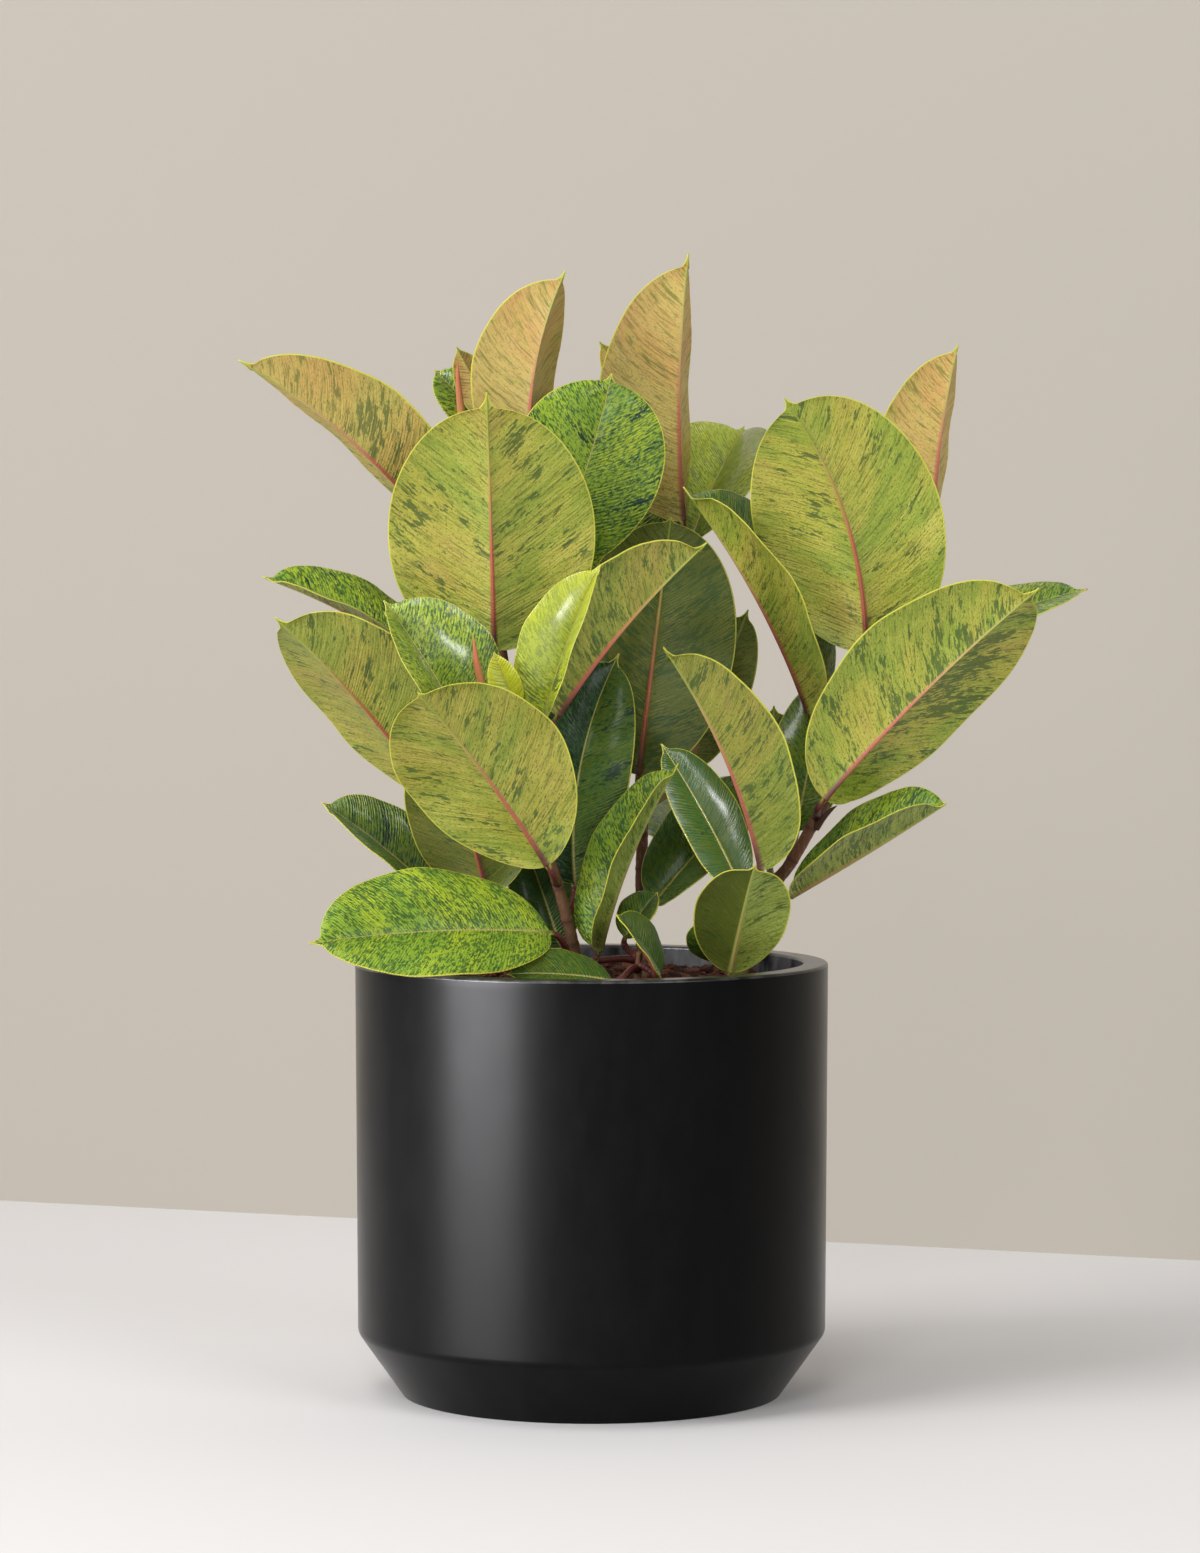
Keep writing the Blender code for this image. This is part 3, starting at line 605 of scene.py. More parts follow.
def makeBed():
    v = mixValues
    top = mixTop()
    bottom = planterValues["floorThickness"] + v["seatGap"]
    profile = [(bedRadiusAt(top) * i / v["rings"], top) for i in range(1, v["rings"] + 1)]
    profile += [(bedRadiusAt(z), z) for z in v["coreHeights"]]
    profile.append((innerRadiusAt(bottom) - v["bottomCorner"], bottom))
    mesh = turnedMesh("bark_mix_bed", profile, v["turns"])
    for vertex in mesh.vertices:
        if vertex.co.z > (top - 0.01) * mm:         # only the top is rough
            vertex.co.z = mixSurface(vertex.co.x, vertex.co.y)
    places = [tuple(vertex.co) for vertex in mesh.vertices]
    setVectors(mesh, "barkPlace", places)
    setVectors(mesh, "barkTone", [(v["bedTone"], 0.0, 0.0)] * len(places))
    addPiece("bark_mix_bed", mesh, "growing_mix", [barkFinish("coir")])


def chipShape(draw, size):
    # corners of one broken piece of bark: a worn box, kept convex
    v = mixValues
    drift = v["chipDrift"]
    corners = []
    for x in (-1, 1):
        for y in (-1, 1):
            for z in (-1, 1):
                corners.append(Vector((x * draw.uniform(*v["chipEnds"]), y * draw.uniform(*v["chipSides"]),
                                       z * draw.uniform(*v["chipSides"]))))
    for axis in range(3):
        for sign in (-1, 1):
            bulge = Vector([draw.uniform(-drift, drift) for _ in range(3)])
            bulge[axis] = sign * draw.uniform(*v["chipBulge"])
            corners.append(bulge)
    return [Vector((c.x * size.x, c.y * size.y, c.z * size.z)) for c in corners]


def makeChips():
    v = mixValues
    draw = random.Random(v["seed"])
    reach = innerRadiusAt(mixTop()) * mm
    whole = bmesh.new()
    placeLayer = whole.verts.layers.float_vector.new("barkPlace")
    toneLayer = whole.verts.layers.float_vector.new("barkTone")
    low, high = v["chipLength"]
    tilt = v["chipTilt"]
    for i in range(v["chips"]):
        length = (low + (high - low) * draw.random() ** v["chipFewLong"]) * mm
        size = Vector((length / 2, length * draw.uniform(*v["chipWidth"]),
                       length * draw.uniform(*v["chipThickness"])))
        spread = (reach - length * v["chipReach"] - v["chipRoom"] * mm) * math.sqrt(draw.random())
        angle = draw.uniform(0.0, 2 * math.pi)
        spot = Vector((spread * math.cos(angle), spread * math.sin(angle), 0.0))
        spot.z = mixSurface(spot.x, spot.y) + size.z * draw.uniform(*v["chipOut"])
        turn = Euler((draw.uniform(-tilt, tilt), draw.uniform(-tilt, tilt), draw.uniform(0, v["chipTurn"])))
        turn = turn.to_matrix()
        tone = draw.random()
        verts = []
        for corner in chipShape(draw, size):
            vert = whole.verts.new(spot + turn @ corner)
            vert[placeLayer] = corner + Vector((0.0, 0.0, i * v["grainShift"]))     # each has its own grain
            vert[toneLayer] = (tone, 0.0, 0.0)
            verts.append(vert)
        made = bmesh.ops.convex_hull(whole, input=verts)
        loose = [g for g in made["geom_interior"] + made["geom_unused"] if isinstance(g, bmesh.types.BMVert)]
        bmesh.ops.delete(whole, geom=list(set(loose)), context="VERTS")
    bmesh.ops.recalc_face_normals(whole, faces=whole.faces)
    mesh = bpy.data.meshes.new("bark_chips")
    whole.to_mesh(mesh)
    whole.free()
    addPiece("bark_chips", mesh, None, [barkFinish("barkChip")])
    mesh.set_sharp_from_angle(angle=math.radians(v["sharpFrom"]))


makeBed()
makeChips()
print("growing mix laid")


# Stems, with ring scars, and the sheaths at their tips

stemValues = {
    "buried": 50.0, "collar": 6.0, "step": 1.6, "searchStep": 4.0, "fewestSteps": 6, "sides": 22,
    "relief": 0.077, "reliefStep": 0.35, "reliefGrain": 1.4,
    "firstScar": 12.0, "scarEvery": 21.0, "scarSpread": (0.7, 1.3), "scarHeight": 0.38, "scarWidth": 1.3,
    "greenTo": 250.0, "roughness": 0.62, "specular": 0.35, "bump": 0.0004,
    "grain": (420.0, 4.0, 0.65), "cloud": (60.0, 3.0, 0.6),
    "bark": (0.175, 0.072, 0.038), "barkPale": (0.330, 0.185, 0.105),
    "barkGreen": (0.130, 0.085, 0.036), "scar": (0.070, 0.030, 0.018),
}
Stem = namedtuple("Stem", "name route radius tipRadius slot")
stems = {stem.name: stem for stem in (
    Stem("front_stem", ((-6, -42, 271), (-17, -47, 321), (-27, -52, 355), (-45, -60, 410), (-64, -72, 452)),
         4.2, 2.8, "wood"),
    Stem("left_stem", ((-32, 12, 271), (-38, 16, 330), (-50, 20, 420), (-64, 26, 520), (-84, 36, 630)),
         4.6, 2.6, "wood"),
    Stem("middle_stem", ((34, 22, 271), (33, 24, 340), (36, 27, 430), (45, 33, 520), (56, 42, 590)),
         4.4, 2.6, "wood"),
    Stem("right_stem", ((97, 4, 271), (111, 5, 322), (130, 2, 348), (146, -1, 376), (158, 2, 400),
                        (182, 8, 470), (205, 14, 545)),
         4.6, 2.6, "wood"),
    Stem("low_shoot", ((30, -62, 271), (30, -63, 283), (31, -64, 296)), 2.6, 2.0, "shoot"),
    Stem("side_shoot", ((96, -52, 271), (96, -53, 281), (95, -54, 292)), 2.6, 2.0, "shoot"),
)}


def smoothPoint(points, place):
    # a point on the smooth curve through the points; place counts in spans
    last = len(points) - 1
    i = min(int(place), last - 1)
    t = place - i
    p1, p2 = points[i], points[i + 1]
    p0 = points[i - 1] if i > 0 else p1 * 2 - p2
    p3 = points[i + 2] if i + 2 <= last else p2 * 2 - p1
    return 0.5 * ((2 * p1) + (p2 - p0) * t + (2 * p0 - 5 * p1 + 4 * p2 - p3) * t ** 2
                  + (3 * p1 - p0 - 3 * p2 + p3) * t ** 3)


def stemLine(stem, step):
    # centre and radius along a stem, from the bed to its shoot tip
    route = [Vector(p) * mm for p in stem.route]
    length = sum((b - a).length for a, b in zip(route, route[1:]))
    steps = max(stemValues["fewestSteps"], round(length / (step * mm)))
    line = []
    for i in range(steps + 1):
        share = i / steps
        radius = (stem.radius + (stem.tipRadius - stem.radius) * share) * mm
        line.append((smoothPoint(route, share * (len(route) - 1)), radius))
    return line


def stemAt(stem, height):
    # centre, direction and radius of a stem at a height in metres
    line = stemLine(stem, stemValues["searchStep"])
    for (low, lowRadius), (high, highRadius) in zip(line, line[1:]):
        if high.z >= height:
            break
    share = (height - low.z) / (high.z - low.z)
    return low.lerp(high, share), (high - low).normalized(), lowRadius + (highRadius - lowRadius) * share


def squareTo(vector, way):
    # the direction nearest to vector that is square to way
    return (vector - way * vector.dot(way)).normalized()


def tubeRings(centres, radii, sides, shape):
    # rings square to the line through the centres; shape(i, angle) scales the radius
    rings = []
    across = Vector((1.0, 0.0, 0.0))
    for i, (centre, radius) in enumerate(zip(centres, radii)):
        before, after = centres[max(i - 1, 0)], centres[min(i + 1, len(centres) - 1)]
        way = (after - before).normalized()
        across = squareTo(across, way)
        up = way.cross(across)
        ring = []
        for k in range(sides):
            angle = 2 * math.pi * k / sides
            reach = radius * shape(i, angle)
            ring.append(centre + (across * math.cos(angle) + up * math.sin(angle)) * reach)
        rings.append(ring)
    return rings


def stemFinish():
    v = stemValues
    f = Finish("stemBark", v["roughness"], specular=v["specular"])
    height, scarred, _ = f.split(f.attribute("stemSpot"))
    place = f.objectPlace()
    grainy = f.grain(f.stretch(place, (1.0, 1.0, 0.35)), *v["grain"])
    cloud = f.grain(place, *v["cloud"])
    base = f.mix(f.ramp(f.plus(height, f.minus(cloud, 0.5)), -0.10, 0.30), v["barkGreen"], v["bark"])
    base = f.mix(f.ramp(grainy, 0.50, 0.72, 0.0, 0.6), base, v["barkPale"])
    f.paint(f.mix(f.times(scarred, 0.8), base, v["scar"]))
    f.emboss(grainy, v["bump"])
    return f.material


def makeStem(stem, finish):
    v = stemValues
    line = stemLine(stem, v["step"])
    foot, footRadius = line[0]
    sunk = [(foot - Vector((0, 0, z * mm)), footRadius) for z in (v["buried"], v["buried"] / 2, v["collar"])]
    line = sunk + line
    draw = random.Random(stem.name)
    gone, nextScar = 0.0, v["firstScar"]
    spots, radii = [], []
    for i, (centre, radius) in enumerate(line):
        if i > len(sunk):
            gone += (centre - line[i - 1][0]).length / mm
        if gone > nextScar + 3 * v["scarWidth"]:
            nextScar += v["scarEvery"] * draw.uniform(*v["scarSpread"])
        swell = math.exp(-((gone - nextScar) / v["scarWidth"]) ** 2)
        radii.append(radius + v["scarHeight"] * mm * swell)
        spots.append(((centre.z / mm - stem.route[0][2]) / v["greenTo"], swell, draw.random()))

    def roughness(i, angle):
        spot = Vector((math.cos(angle), math.sin(angle), i * v["reliefStep"]))
        return 1.0 + v["relief"] * noise.noise(spot * v["reliefGrain"])

    centres = [centre for centre, _ in line]
    mesh = loftMesh(stem.name + "_bark", tubeRings(centres, radii, v["sides"], roughness))
    values = [spot for spot in spots for _ in range(v["sides"])] + [spots[0], spots[-1]]
    setVectors(mesh, "stemSpot", values)
    addPiece(stem.name + "_bark", mesh, stem.name, [finish])


sheathValues = {
    "gap": 0.18, "lift": 0.8, "rows": 40, "sides": 24, "flat": 0.16, "ribs": 9, "ribDepth": 0.05,
    "twist": 0.06, "foot": 0.30, "full": 0.75, "pointed": 0.04, "collar": 0.95, "collarTo": 0.1,
    "salmon": (0.640, 0.190, 0.090), "orange": (0.700, 0.330, 0.120), "green": (0.420, 0.400, 0.110),
    "dry": (0.120, 0.050, 0.040), "streak": (900.0, 3.0, 0.6), "roughness": 0.45, "specular": 0.45,
    "bump": 0.0002,
    "fresh": (("left_sheath", "left_stem", 52.0, 2.2), ("front_sheath", "front_stem", 50.0, 2.2)),
    "dried": {"stem": "right_stem", "height": 372.0, "offset": (4.0, -3.0, 0.0), "way": (0.3, -0.35, 0.9),
              "lean": (0.62, -0.3, 0.75), "length": 22.0, "radius": 2.0},
}


def sheathFinish():
    v = sheathValues
    f = Finish("budSheath", v["roughness"], specular=v["specular"])
    along, dry, _ = f.split(f.attribute("sheathSpot"))
    streak = f.grain(f.stretch(f.objectPlace(), (1.0, 1.0, 0.12)), *v["streak"])
    base = f.mix(f.ramp(along, 0.0, 0.35), v["green"], v["orange"])
    base = f.mix(f.ramp(along, 0.15, 0.8), base, v["salmon"])
    base = f.mix(f.ramp(streak, 0.5, 0.75, 0.0, 0.35), base, v["orange"])
    f.paint(f.mix(dry, base, v["dry"]))
    f.emboss(streak, v["bump"])
    return f.material


def sheathMesh(name, start, way, lean, length, radius, dry):
    # a slim spike that leaves along way and bends towards lean
    v = sheathValues
    shares = [i / v["rows"] for i in range(v["rows"] + 1)]
    centres = [start + way.lerp(lean, s) * (length * mm * s) for s in shares]
    radii = []
    for s in shares:
        size = math.sin(math.pi * min(1.0, v["foot"] + (1.0 - v["foot"]) * s)) ** v["full"]
        radii.append(radius * mm * max(v["pointed"], size) * (v["collar"] if s < v["collarTo"] else 1.0))

    def seam(i, angle):
        ribs = math.cos(v["ribs"] * angle + i * v["twist"])
        return 1.0 + v["flat"] * math.cos(2 * angle) + v["ribDepth"] * ribs

    mesh = loftMesh(name, tubeRings(centres, radii, v["sides"], seam))
    values = [(s, dry, 0.0) for s in shares for _ in range(v["sides"])]
    setVectors(mesh, "sheathSpot", values + [(0.0, dry, 0.0), (1.0, dry, 0.0)])
    return mesh


def makeSheaths():
    v = sheathValues
    finish = sheathFinish()
    for name, stemName, length, radius in v["fresh"]:
        stem = stems[stemName]
        top, way, _ = stemAt(stem, stem.route[-1][2] * mm)
        lean = (way + Vector((0, 0, v["lift"]))).normalized()
        mesh = sheathMesh(name + "_skin", top + way * v["gap"] * mm, way, lean, length, radius, 0.0)
        addPiece(name + "_skin", mesh, name, [finish])
    dried = v["dried"]
    root, _, _ = stemAt(stems[dried["stem"]], dried["height"] * mm)
    way, lean = Vector(dried["way"]).normalized(), Vector(dried["lean"]).normalized()
    mesh = sheathMesh("dried_sheath", root + Vector(dried["offset"]) * mm, way, lean, dried["length"],
                      dried["radius"], 1.0)
    addPiece("dried_sheath", mesh, None, [finish])


bark = stemFinish()
for stem in stems.values():
    makeStem(stem, bark)
makeSheaths()
print("stems and sheaths grown")


# Leaves. Each grows on a petiole from its stem; lengths in millimetres, angles in degrees.

leafShape = {
    "thickness": 0.8, "rowEvery": 3.1, "fewestRows": 18, "dripRows": 5, "rollLimit": 0.3, "ribRoom": 0.55,
    "dripHalf": 2.2, "dripEndHalf": 0.6, "flare": 0.02, "youngFlare": 0.08, "pointed": 0.16, "earlier": 0.05,
    "ribTipRadius": 0.5, "ribDepth": 1.3, "ribLimit": 0.45, "groove": 0.30,
    "camber": 0.08, "foldFade": 0.2, "youngFold": 0.8, "wave": 0.015, "waves": 2.5, "calm": 0.3,
    "relief": 0.55, "reliefGrain": (95.0, 24.0, 9.0), "reliefFrom": 8.0,
    "veinSlant": 0.4, "veinSweep": 0.5, "tipYouth": (0.70, 0.40), "blotStretch": 0.45,
    "petioleRadius": 2.2, "petioleRows": 12, "petioleRise": 0.4, "petioleReach": 0.35, "petioleRoot": 0.5,
    "petioleSwell": 0.45, "swellFade": 7.0, "flattenFrom": 0.62, "petioleEdge": 8,
    "seedStep": 0.31,
}
ribColumns = (0.0, 0.35, 0.7, 1.05, 1.5)           # distances from the midrib, in rib radii
ribProfile = (1.0, 0.94, 0.72, 0.26, 0.0)          # how far the rib stands below the blade there
grooveProfile = (1.0, 0.7, 0.3, 0.08, 0.0)         # how deep the groove above it is there
ribMask = (1.0, 1.0, 0.95, 0.55, 0.0)              # how much of the rib's colour shows there
grooveMask = (1.0, 0.75, 0.1, 0.0, 0.0)
bladeColumns = (0.1, 0.22, 0.34, 0.46, 0.58, 0.7, 0.82, 0.92, 1.0)
marginColumns = (0.5, 0.13, 0.0)                   # distances from the margin, in rolled widths
# leaves whose upper side shines less
dullLeaves = ("front_01", "front_02", "front_09", "left_06", "left_07", "low_01", "low_02", "low_03",
              "middle_06", "middle_08", "right_08", "side_02")

# height is where the petiole leaves the stem, face is where the upper side looks, fold closes the blade;
# tone is how young the leaf is, how dark its left and right halves are (the leaf's own dark colour together
# with painted shade where a leaf or half lies in shadow), and how blotched;
# blots add dark patches: (share of the length, share of the half width, size, strength)
Leaf = namedtuple("Leaf", "name stem height base tip width face fold slot tone arch sway peak oval blots",
                  defaults=(0.04, 0.0, 0.475, 0.95, ()))
leaves = (
    Leaf("left_01", "left_stem", 505, (-100, -10, 566), (-228, -45, 678), 88, (0.47, 0.72, 0.51), 37,
         "olive", (0.66, 0.05, 0.0, 0.25), sway=-0.03, peak=0.4, blots=((0.45, -0.3, 0.16, 0.45),)),
    Leaf("left_02", "left_stem", 560, (-39, -5, 600), (-17, -25, 737), 82, (-0.5, 0.85, 0.1), 39, "young",
         (0.95, 0.34, 0.15, 0.0), sway=0.06, peak=0.5),
    Leaf("left_03", "left_stem", 600, (-68, 54, 634), (-105, 54, 676), 38, (0.3, -0.9, 0.3), 14, "green",
         (0.0, 0.0, 0.0, 0.3)),
    Leaf("left_04", "left_stem", 612, (-62, 44, 640), (-90, 47, 691), 28, (-0.3, 0.9, 0.2), 16, "young",
         (1.0, 0.0, 0.0, 0.0)),
    Leaf("left_05", "left_stem", 450, (-63, -42, 490), (-67, -75, 656), 136, (0, 1, 0.15), 8, "olive",
         (0.1, 0.0, 0.0, 0.15), peak=0.44, oval=0.94,
         blots=((0.75, -0.4, 0.12, 0.45), (0.55, 0.8, 0.12, 0.5))),
    Leaf("left_06", "left_stem", 500, (-31, 2, 540), (13, -10, 671), 100, (0.1, -1, 0.3), 10, "green",
         (0.0, 0.0, 0.32, 0.5), sway=0.03, peak=0.58, oval=0.96),
    Leaf("left_07", "left_stem", 425, (-109, -15, 484), (-213, -40, 538), 60, (0.2, -0.4, 0.9), 30, "green",
         (0.0, 0.1, 0.1, 0.4), peak=0.42),
    Leaf("left_08", "left_stem", 300, (-97, -8, 323), (-176, -30, 391), 58, (0.5, -0.65, 0.6), 30, "dark",
         (0.0, 0.62, 0.48, 0.5)),
    Leaf("left_09", "left_stem", 318, (-68, -27, 330), (-99, -52, 436), 84, (0.2, 0.9, 0.3), 8, "olive",
         (0.0, 0.7, 0.7, 0.2)),
    Leaf("front_01", "front_stem", 290, (-27, -70, 309), (-178, -138, 307), 91, (0, -0.75, 0.65), 12,
         "green", (0.0, 0.05, 0.05, 0.1), peak=0.5),
    Leaf("front_02", "front_stem", 318, (-11, -30, 338), (18, -15, 488), 68, (0, -1, 0.2), 8, "dark",
         (0.0, 1.0, 0.7, 0.6), sway=-0.07),
    Leaf("front_03", "front_stem", 340, (-28, -85, 353), (-109, -132, 465), 114, (0.2, 0.88, 0.4), 8,
         "olive", (0.15, 0.2, 0.15, 0.15), peak=0.54, oval=0.98),
    Leaf("front_04", "front_stem", 375, (-104, -50, 399), (-203, -75, 512), 102, (0.44, 0.79, 0.42), 22,
         "olive", (0.2, 0.2, 0.22, 0.2)),
    Leaf("front_05", "front_stem", 410, (-22, -54, 448), (74, -78, 560), 84, (-0.6, 0.6, 0.5), 38, "olive",
         (0.25, 0.45, 0.35, 0.35)),
    Leaf("front_06", "front_stem", 425, (-30, -88, 449), (6, -102, 546), 60, (-0.5, -0.75, 0.4), 40,
         "green", (0.62, 0.0, 0.0, 0.0), peak=0.42, blots=((0.25, 0.5, 0.25, 1.0),)),
    Leaf("front_07", "front_stem", 400, (-77, -66, 430), (-133, -82, 523), 88, (0.53, -0.79, 0.33), 36,
         "green", (0.22, 0.0, 0.0, 0.1)),
    Leaf("front_08", "front_stem", 438, (-48, -90, 455), (-62, -100, 490), 22, (-0.3, -0.8, 0.5), 20,
         "young", (0.9, 0.0, 0.0, -0.5)),
    Leaf("front_09", "front_stem", 280, (5, -52, 296), (56, -64, 418), 64, (-0.85, -0.35, 0.35), 38,
         "green", (-1.0, 0.0, 0.0, 0.2), peak=0.4),
    Leaf("front_10", "front_stem", 283, (-47, -60, 294), (-100, -72, 291), 45, (0, -0.6, 0.8), 8, "dark",
         (0.0, 0.5, 0.5, 0.4)),
    Leaf("middle_01", "middle_stem", 530, (61, 36, 575), (64, 30, 752), 104, (-0.65, 0.75, 0), 40, "young",
         (0.8, 0.0, 0.0, 0.05)),
    Leaf("middle_02", "middle_stem", 580, (46, 74, 640), (5, 76, 696), 26, (-0.3, 0.9, 0.2), 14, "young",
         (0.9, 0.0, 0.0, 0.0)),
    Leaf("middle_03", "middle_stem", 480, (22, 60, 520), (24, 64, 630), 56, (-0.2, -0.9, 0.2), 10, "green",
         (0.0, 0.1, 0.1, 0.3)),
    Leaf("middle_04", "middle_stem", 535, (66, 62, 562), (104, 130, 641), 95, (-0.2, -0.7, 0.7), 30,
         "green", (0.52, 0.0, 0.3, 0.15)),
    Leaf("middle_05", "middle_stem", 370, (31, -6, 408), (52, 2, 577), 108, (0, 1, 0.1), 8, "dark",
         (-0.2, 0.82, 0.82, 0.5), peak=0.52, oval=0.98),
    Leaf("middle_06", "middle_stem", 300, (41, -6, 323), (122, 20, 405), 68, (-0.5, -0.7, 0.5), 22, "dark",
         (0.0, 0.6, 0.6, 0.3)),
    Leaf("middle_07", "middle_stem", 385, (64, 60, 410), (105, 70, 516), 46, (0, 1, 0.1), 8, "olive",
         (-0.5, 0.5, 0.5, 0.3)),
    Leaf("middle_08", "middle_stem", 283, (-21, -8, 296), (-44, 0, 362), 46, (0.1, -0.9, 0.3), 8, "dark",
         (0.0, 0.9, 0.9, 0.5)),
    Leaf("right_01", "right_stem", 545, (226, 20, 579), (241, 10, 691), 78, (-0.6, 0.8, 0.05), 40, "young",
         (1.0, 0.14, 0.0, 0.0), peak=0.42),
    Leaf("right_02", "right_stem", 465, (179, -28, 489), (124, -60, 653), 124, (0.15, 0.98, 0.05), 8,
         "olive", (0.0, 0.0, 0.0, 0.15), sway=-0.075, peak=0.47, oval=0.96),
    Leaf("right_03", "right_stem", 410, (144, 8, 448), (60, -12, 597), 100, (0.85, -0.25, 0.45), 43,
         "olive", (0.0, 0.0, 0.5, 0.2)),
    Leaf("right_04", "right_stem", 380, (151, -50, 394), (286, -90, 531), 110, (-0.36, 0.87, 0.34), 19,
         "olive", (0.0, 0.0, 0.05, 0.3), blots=((0.6, -0.4, 0.2, 0.7),)),
    Leaf("right_05", "right_stem", 440, (203, 10, 482), (329, 30, 530), 50, (-0.1, -0.5, 0.85), 14, "green",
         (0.0, 0.1, 0.1, 0.3)),
    Leaf("right_06", "right_stem", 322, (110, -50, 348), (46, -75, 493), 80, (0.65, 0.65, 0.35), 42,
         "olive", (0.1, 0.35, 0.4, 0.25), sway=-0.03, peak=0.43),
    Leaf("right_07", "right_stem", 305, (98, -24, 333), (45, -44, 430), 48, (0.42, -0.85, 0.27), 12, "dark",
         (0.0, 0.8, 0.8, 0.4)),
    Leaf("right_08", "right_stem", 298, (129, -10, 328), (229, -58, 392), 68, (-0.5, -0.2, 0.85), 42,
         "green", (-0.7, 0.2, 0.2, 0.45), arch=-0.01, peak=0.56, oval=0.98),
    Leaf("right_09", "right_stem", 350, (136, 25, 370), (158, 35, 472), 54, (-0.2, -0.9, 0.2), 10, "dark",
         (0.0, 0.5, 0.5, 0.4)),
    Leaf("right_10", "right_stem", 335, (118, 46, 366), (122, 54, 452), 50, (0, 1, 0.1), 8, "olive",
         (-0.5, 0.5, 0.5, 0.3)),
    Leaf("low_01", "low_shoot", 285, (13, -85, 279), (-54, -108, 285), 44, (0, -0.6, 0.8), 8, "dark",
         (0.0, 0.7, 0.7, 0.3)),
    Leaf("low_02", "low_shoot", 287, (44, -70, 280), (16, -90, 322), 40, (0.6, -0.4, 0.6), 20, "dark",
         (0.0, 0.75, 0.75, 0.3)),
    Leaf("low_03", "low_shoot", 292, (22, -46, 304), (43, -42, 333), 34, (-0.5, -0.6, 0.5), 15, "dark",
         (0.0, 0.7, 0.7, 0.3)),
    Leaf("side_01", "side_shoot", 283, (90, -66, 283), (103, -135, 356), 62, (0, 0.8, 0.6), 8, "green",
         (-0.9, 0.0, 0.9, 0.2)),
    Leaf("side_02", "side_shoot", 286, (88, -50, 290), (69, -70, 317), 35, (-0.5, -0.6, 0.5), 10, "dark",
         (0.0, 0.6, 0.6, 0.3)),
    Leaf("back_01", "left_stem", 375, (-92, 70, 415), (-158, 150, 455), 88, (0.4, -0.4, 0.8), 12, "green",
         (0.0, 0.0, 0.1, 0.3)),
    Leaf("back_02", "left_stem", 520, (-70, 85, 550), (-80, 190, 640), 105, (0.1, -0.7, 0.7), 14, "green",
         (0.0, 0.1, 0.0, 0.4)),
    Leaf("back_03", "left_stem", 345, (-40, 60, 380), (-90, 180, 420), 110, (0.2, -0.3, 0.9), 10, "green",
         (0.0, 0.2, 0.1, 0.4)),
    Leaf("back_04", "middle_stem", 440, (35, 80, 470), (20, 200, 540), 110, (0, -0.5, 0.85), 10, "green",
         (0.0, 0.0, 0.1, 0.3)),
    Leaf("back_05", "middle_stem", 320, (52, 60, 362), (80, 165, 398), 90, (-0.1, -0.2, 0.9), 10, "dark",
         (0.0, 0.5, 0.4, 0.4)),
    Leaf("back_06", "right_stem", 425, (206, 50, 440), (256, 142, 490), 96, (-0.4, -0.4, 0.8), 12, "green",
         (0.0, 0.1, 0.0, 0.3)),
    Leaf("back_07", "right_stem", 500, (192, 62, 530), (172, 150, 622), 90, (0, -0.7, 0.7), 14, "green",
         (0.0, 0.0, 0.1, 0.3)),
)


def halfWidth(leaf, t):
    # an oval that runs out into the drip tip, more pointed the younger the leaf
    s = leafShape
    young = max(0.0, leaf.tone[0])
    u = min(t / leaf.oval, 1.0) ** (math.log(0.5) / math.log(leaf.peak / leaf.oval))
    outer = u > 0.5
    oval = leaf.width * mm / 2 * max(0.0, 4 * u * (1 - u)) ** (0.5 + s["pointed"] * young * outer)
    ahead = s["earlier"] * young
    taper = max(0.0, (t - leaf.oval + ahead) / (1 - leaf.oval + ahead))
    wide = s["dripHalf"] + leaf.width * (s["flare"] + s["youngFlare"] * young) * outer
    drip = s["dripEndHalf"] + (wide - s["dripEndHalf"]) * (1 - taper) ** 2
    return max(oval, drip * mm)


def midribFrame(leaf, t):
    # the midrib's point, direction, upper-side normal and sideways direction
    base, tip = Vector(leaf.base) * mm, Vector(leaf.tip) * mm
    chord = tip - base
    up = squareTo(Vector(leaf.face), chord.normalized())
    side = chord.normalized().cross(up)
    bow = (up * leaf.arch + side * leaf.sway) * chord.length
    point = base + chord * t + bow * 4 * t * (1 - t)
    way = (chord + bow * 4 * (1 - 2 * t)).normalized()
    normal = squareTo(up, way)
    return point, way, normal, way.cross(normal)


def columnDistances(half, rib):
    # distances from the midrib at which the blade has points: rib, blade and rolled margin
    skin = min(leafShape["thickness"] * mm, half * leafShape["rollLimit"])
    inner = min(ribColumns[-1] * rib, half * leafShape["ribRoom"])
    outer = half - skin
    distances = [inner * c / ribColumns[-1] for c in ribColumns]
    distances += [inner + (outer - inner) * c for c in bladeColumns]
    distances += [half - skin * c for c in marginColumns]
    return distances, outer, skin


def leafToneAt(leaf, t, share):
    # each half's darkness is partly painted shade
    young, darkAndShadeLeft, darkAndShadeRight, blotched = leaf.tone
    for place, across, size, strength in leaf.blots:
        away = math.hypot(t - place, (share - across) * leafShape["blotStretch"]) / size
        blotched += strength * math.exp(-away * away)
    start, gain = leafShape["tipYouth"]
    return (young * (start + gain * t), darkAndShadeLeft if share < 0 else darkAndShadeRight, blotched)


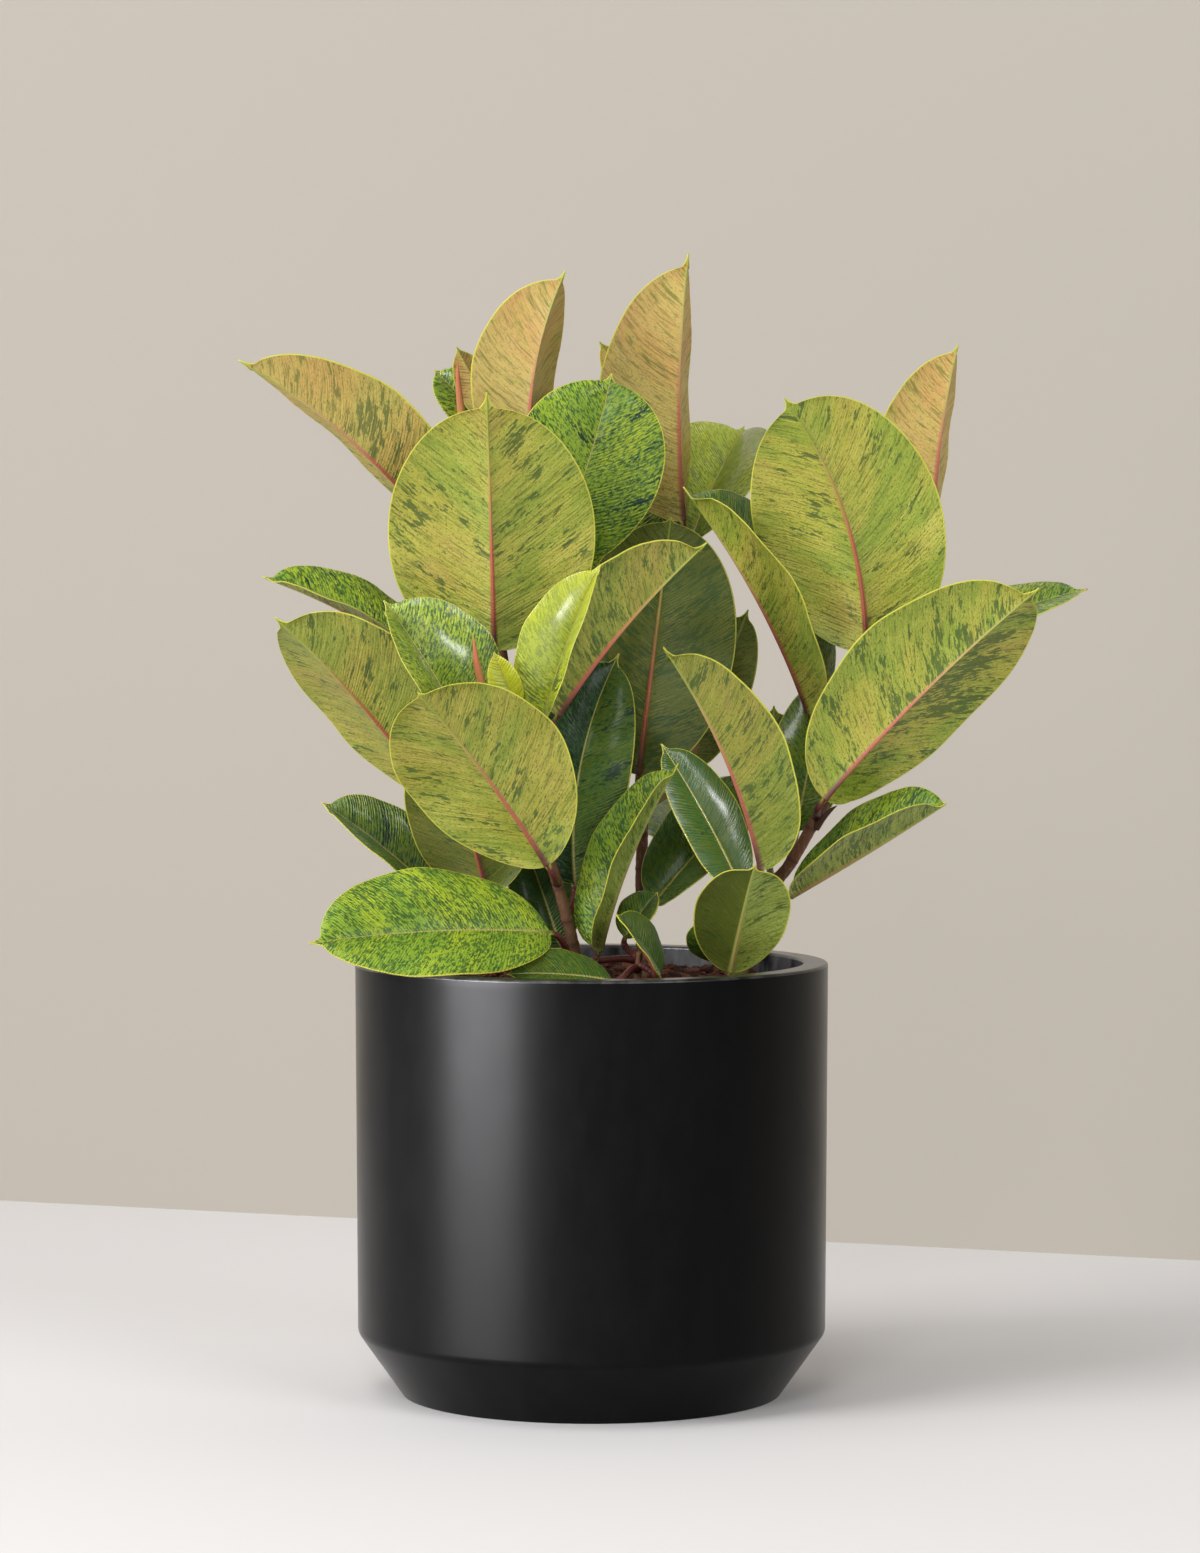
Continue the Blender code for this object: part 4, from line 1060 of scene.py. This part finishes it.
def bladeRing(leaf, t, seed):
    # one ring round the blade: along the top from margin to margin, then back underneath;
    # each point comes with its veinPlace, leafSpot and leafTone
    s = leafShape
    point, _, normal, side = midribFrame(leaf, t)
    half = halfWidth(leaf, t)
    width = leaf.width * mm
    length = (Vector(leaf.tip) - Vector(leaf.base)).length * mm
    fade = s["foldFade"] * (1.0 - s["youngFold"] * max(0.0, leaf.tone[0]))
    fold = math.radians(leaf.fold) * min(1.0, half / (width * fade))
    rib = (s["petioleRadius"] + (s["ribTipRadius"] - s["petioleRadius"]) * math.sqrt(t)) * mm
    ribHeight = min(rib, half * s["ribLimit"]) * s["ribDepth"]
    wave = s["wave"] * width * math.sin(2 * math.pi * s["waves"] * t)
    calm = min(1.0, half / (width * s["calm"]))
    alongGrain, acrossGrain, seedGrain = s["reliefGrain"]
    distances, outer, skin = columnDistances(half, rib)
    top, below = [], []
    for sign in (-1, 1):
        for j, d in enumerate(distances):
            if sign == 1 and j == 0:
                continue
            q = t * length - d * (s["veinSlant"] + s["veinSweep"] * t)
            place = (q, d * sign, seed)
            spot = Vector((q * alongGrain, d * sign * acrossGrain, seed * seedGrain))
            ripple = noise.noise(spot) * s["relief"] * mm * calm * min(1.0, d / (s["reliefFrom"] * mm))
            lift = d * math.sin(fold) + wave * (d / (width / 2)) ** 2
            lift += s["camber"] * half * math.sin(math.pi * d / half) * calm + ripple
            across = math.copysign(d * math.cos(fold), sign)
            level = s["thickness"] * mm / 2
            if d > outer:
                level *= math.sqrt(max(0.0, 1 - ((d - outer) / skin) ** 2))
            sunk, proud, grooved, ribbed = 0.0, 0.0, 0.0, 0.0
            if j < len(ribColumns):
                sunk, proud = s["groove"] * mm * grooveProfile[j], ribHeight * ribProfile[j]
                grooved, ribbed = grooveMask[j], ribMask[j]
            tone = leafToneAt(leaf, t, d / half * sign)
            middle = point + side * across
            top.append((middle + normal * (lift + level - sunk), place, (t, half - d, grooved), tone))
            below.append((middle + normal * (lift - level - proud), place, (t, half - d, ribbed), tone))
    count = len(distances)
    top = list(reversed(top[:count])) + top[count:]
    below = list(reversed(below[:count])) + below[count:]
    return top + list(reversed(below[1:-1]))


def petioleRings(leaf, firstRing, seed):
    # rings from inside the stem up to the blade, round at first and then shaped like the blade's first ring
    s = leafShape
    centre, along, stemRadius = stemAt(stems[leaf.stem], leaf.height * mm)
    end, endWay, normal, bladeSide = midribFrame(leaf, 0.0)
    flat = [((p[0] - end).dot(bladeSide), (p[0] - end).dot(normal)) for p in firstRing]
    out = squareTo(end - centre, along)
    start = centre + out * stemRadius * s["petioleRoot"]
    reach = (end - start).length
    first = start + (out + along * s["petioleRise"]).normalized() * reach * s["petioleReach"]
    second = end - endWay * reach * s["petioleReach"]
    count = len(firstRing)
    half = count // 2
    edge, sweep = s["petioleEdge"], 180 - 2 * s["petioleEdge"]
    rings = []
    for i in reversed(range(s["petioleRows"])):
        u = i / s["petioleRows"]
        v = 1 - u
        point = start * v ** 3 + first * 3 * v * v * u + second * 3 * v * u * u + end * u ** 3
        way = ((first - start) * v * v + (second - first) * 2 * v * u + (end - second) * u * u).normalized()
        normal = squareTo(normal, way)
        side = way.cross(normal)
        radius = s["petioleRadius"] * mm * (1 + s["petioleSwell"] * math.exp(-u * s["swellFade"]))
        blend = max(0.0, (u - s["flattenFrom"]) / (1 - s["flattenFrom"])) ** 2
        ring = []
        for k in range(count):
            angle = 180 - edge - sweep * k / half if k <= half else -edge - sweep * (k - half) / half
            x = math.cos(math.radians(angle)) * radius * (1 - blend) + flat[k][0] * blend
            z = math.sin(math.radians(angle)) * radius * (1 - blend) + flat[k][1] * blend
            place = (-(1 - u) * reach, x, seed)
            spot = (-leafFinish["petioleSpan"] * (1 - u) - 0.01, 0.01, 1.0)     # below the blade, all rib
            ring.append((point + side * x + normal * z, place, spot, (leaf.tone[0], 0.0, 0.0)))
        rings.append(ring)
    rings.reverse()
    return rings


def bladeRows(leaf, length):
    # shares of the length at which the blade has a ring: close at both ends of the oval, then the drip tip
    s = leafShape
    count = max(s["fewestRows"], round(length * leaf.oval / s["rowEvery"]))
    rows = [leaf.oval * (1 - math.cos(math.pi * i / count)) / 2 for i in range(count + 1)]
    return rows + [leaf.oval + (1 - leaf.oval) * (i + 1) / s["dripRows"] for i in range(s["dripRows"])]


def makeLeaf(leaf, seed, finishes):
    length = (Vector(leaf.tip) - Vector(leaf.base)).length
    blade = [bladeRing(leaf, t, seed) for t in bladeRows(leaf, length)]
    rings = petioleRings(leaf, blade[0], seed) + blade
    name = "blade_" + leaf.name
    mesh = loftMesh(name, [[spot[0] for spot in ring] for ring in rings])
    spots = [spot for ring in rings for spot in ring] + [rings[0][0], rings[-1][0]]
    for index, layer in enumerate(("veinPlace", "leafSpot", "leafTone"), 1):
        setVectors(mesh, layer, [spot[index] for spot in spots])
    count = len(rings[0])
    upper = [0] * len(mesh.polygons)
    for row in range(len(rings) - 1):
        for k in range(count // 2):
            upper[row * count + k] = 1
    mesh.polygons.foreach_set("material_index", upper)
    addPiece(name, mesh, "leaf_" + leaf.name, finishes)


underside = undersideFinish()
glossy = upperFinish("leafUpperSide", *leafFinish["glossy"])
dull = upperFinish("leafShadedSide", *leafFinish["dull"])
for index, leaf in enumerate(leaves):
    makeLeaf(leaf, leafShape["seedStep"] * index, [underside, dull if leaf.name in dullLeaves else glossy])
print("leaves grown:", len(leaves))
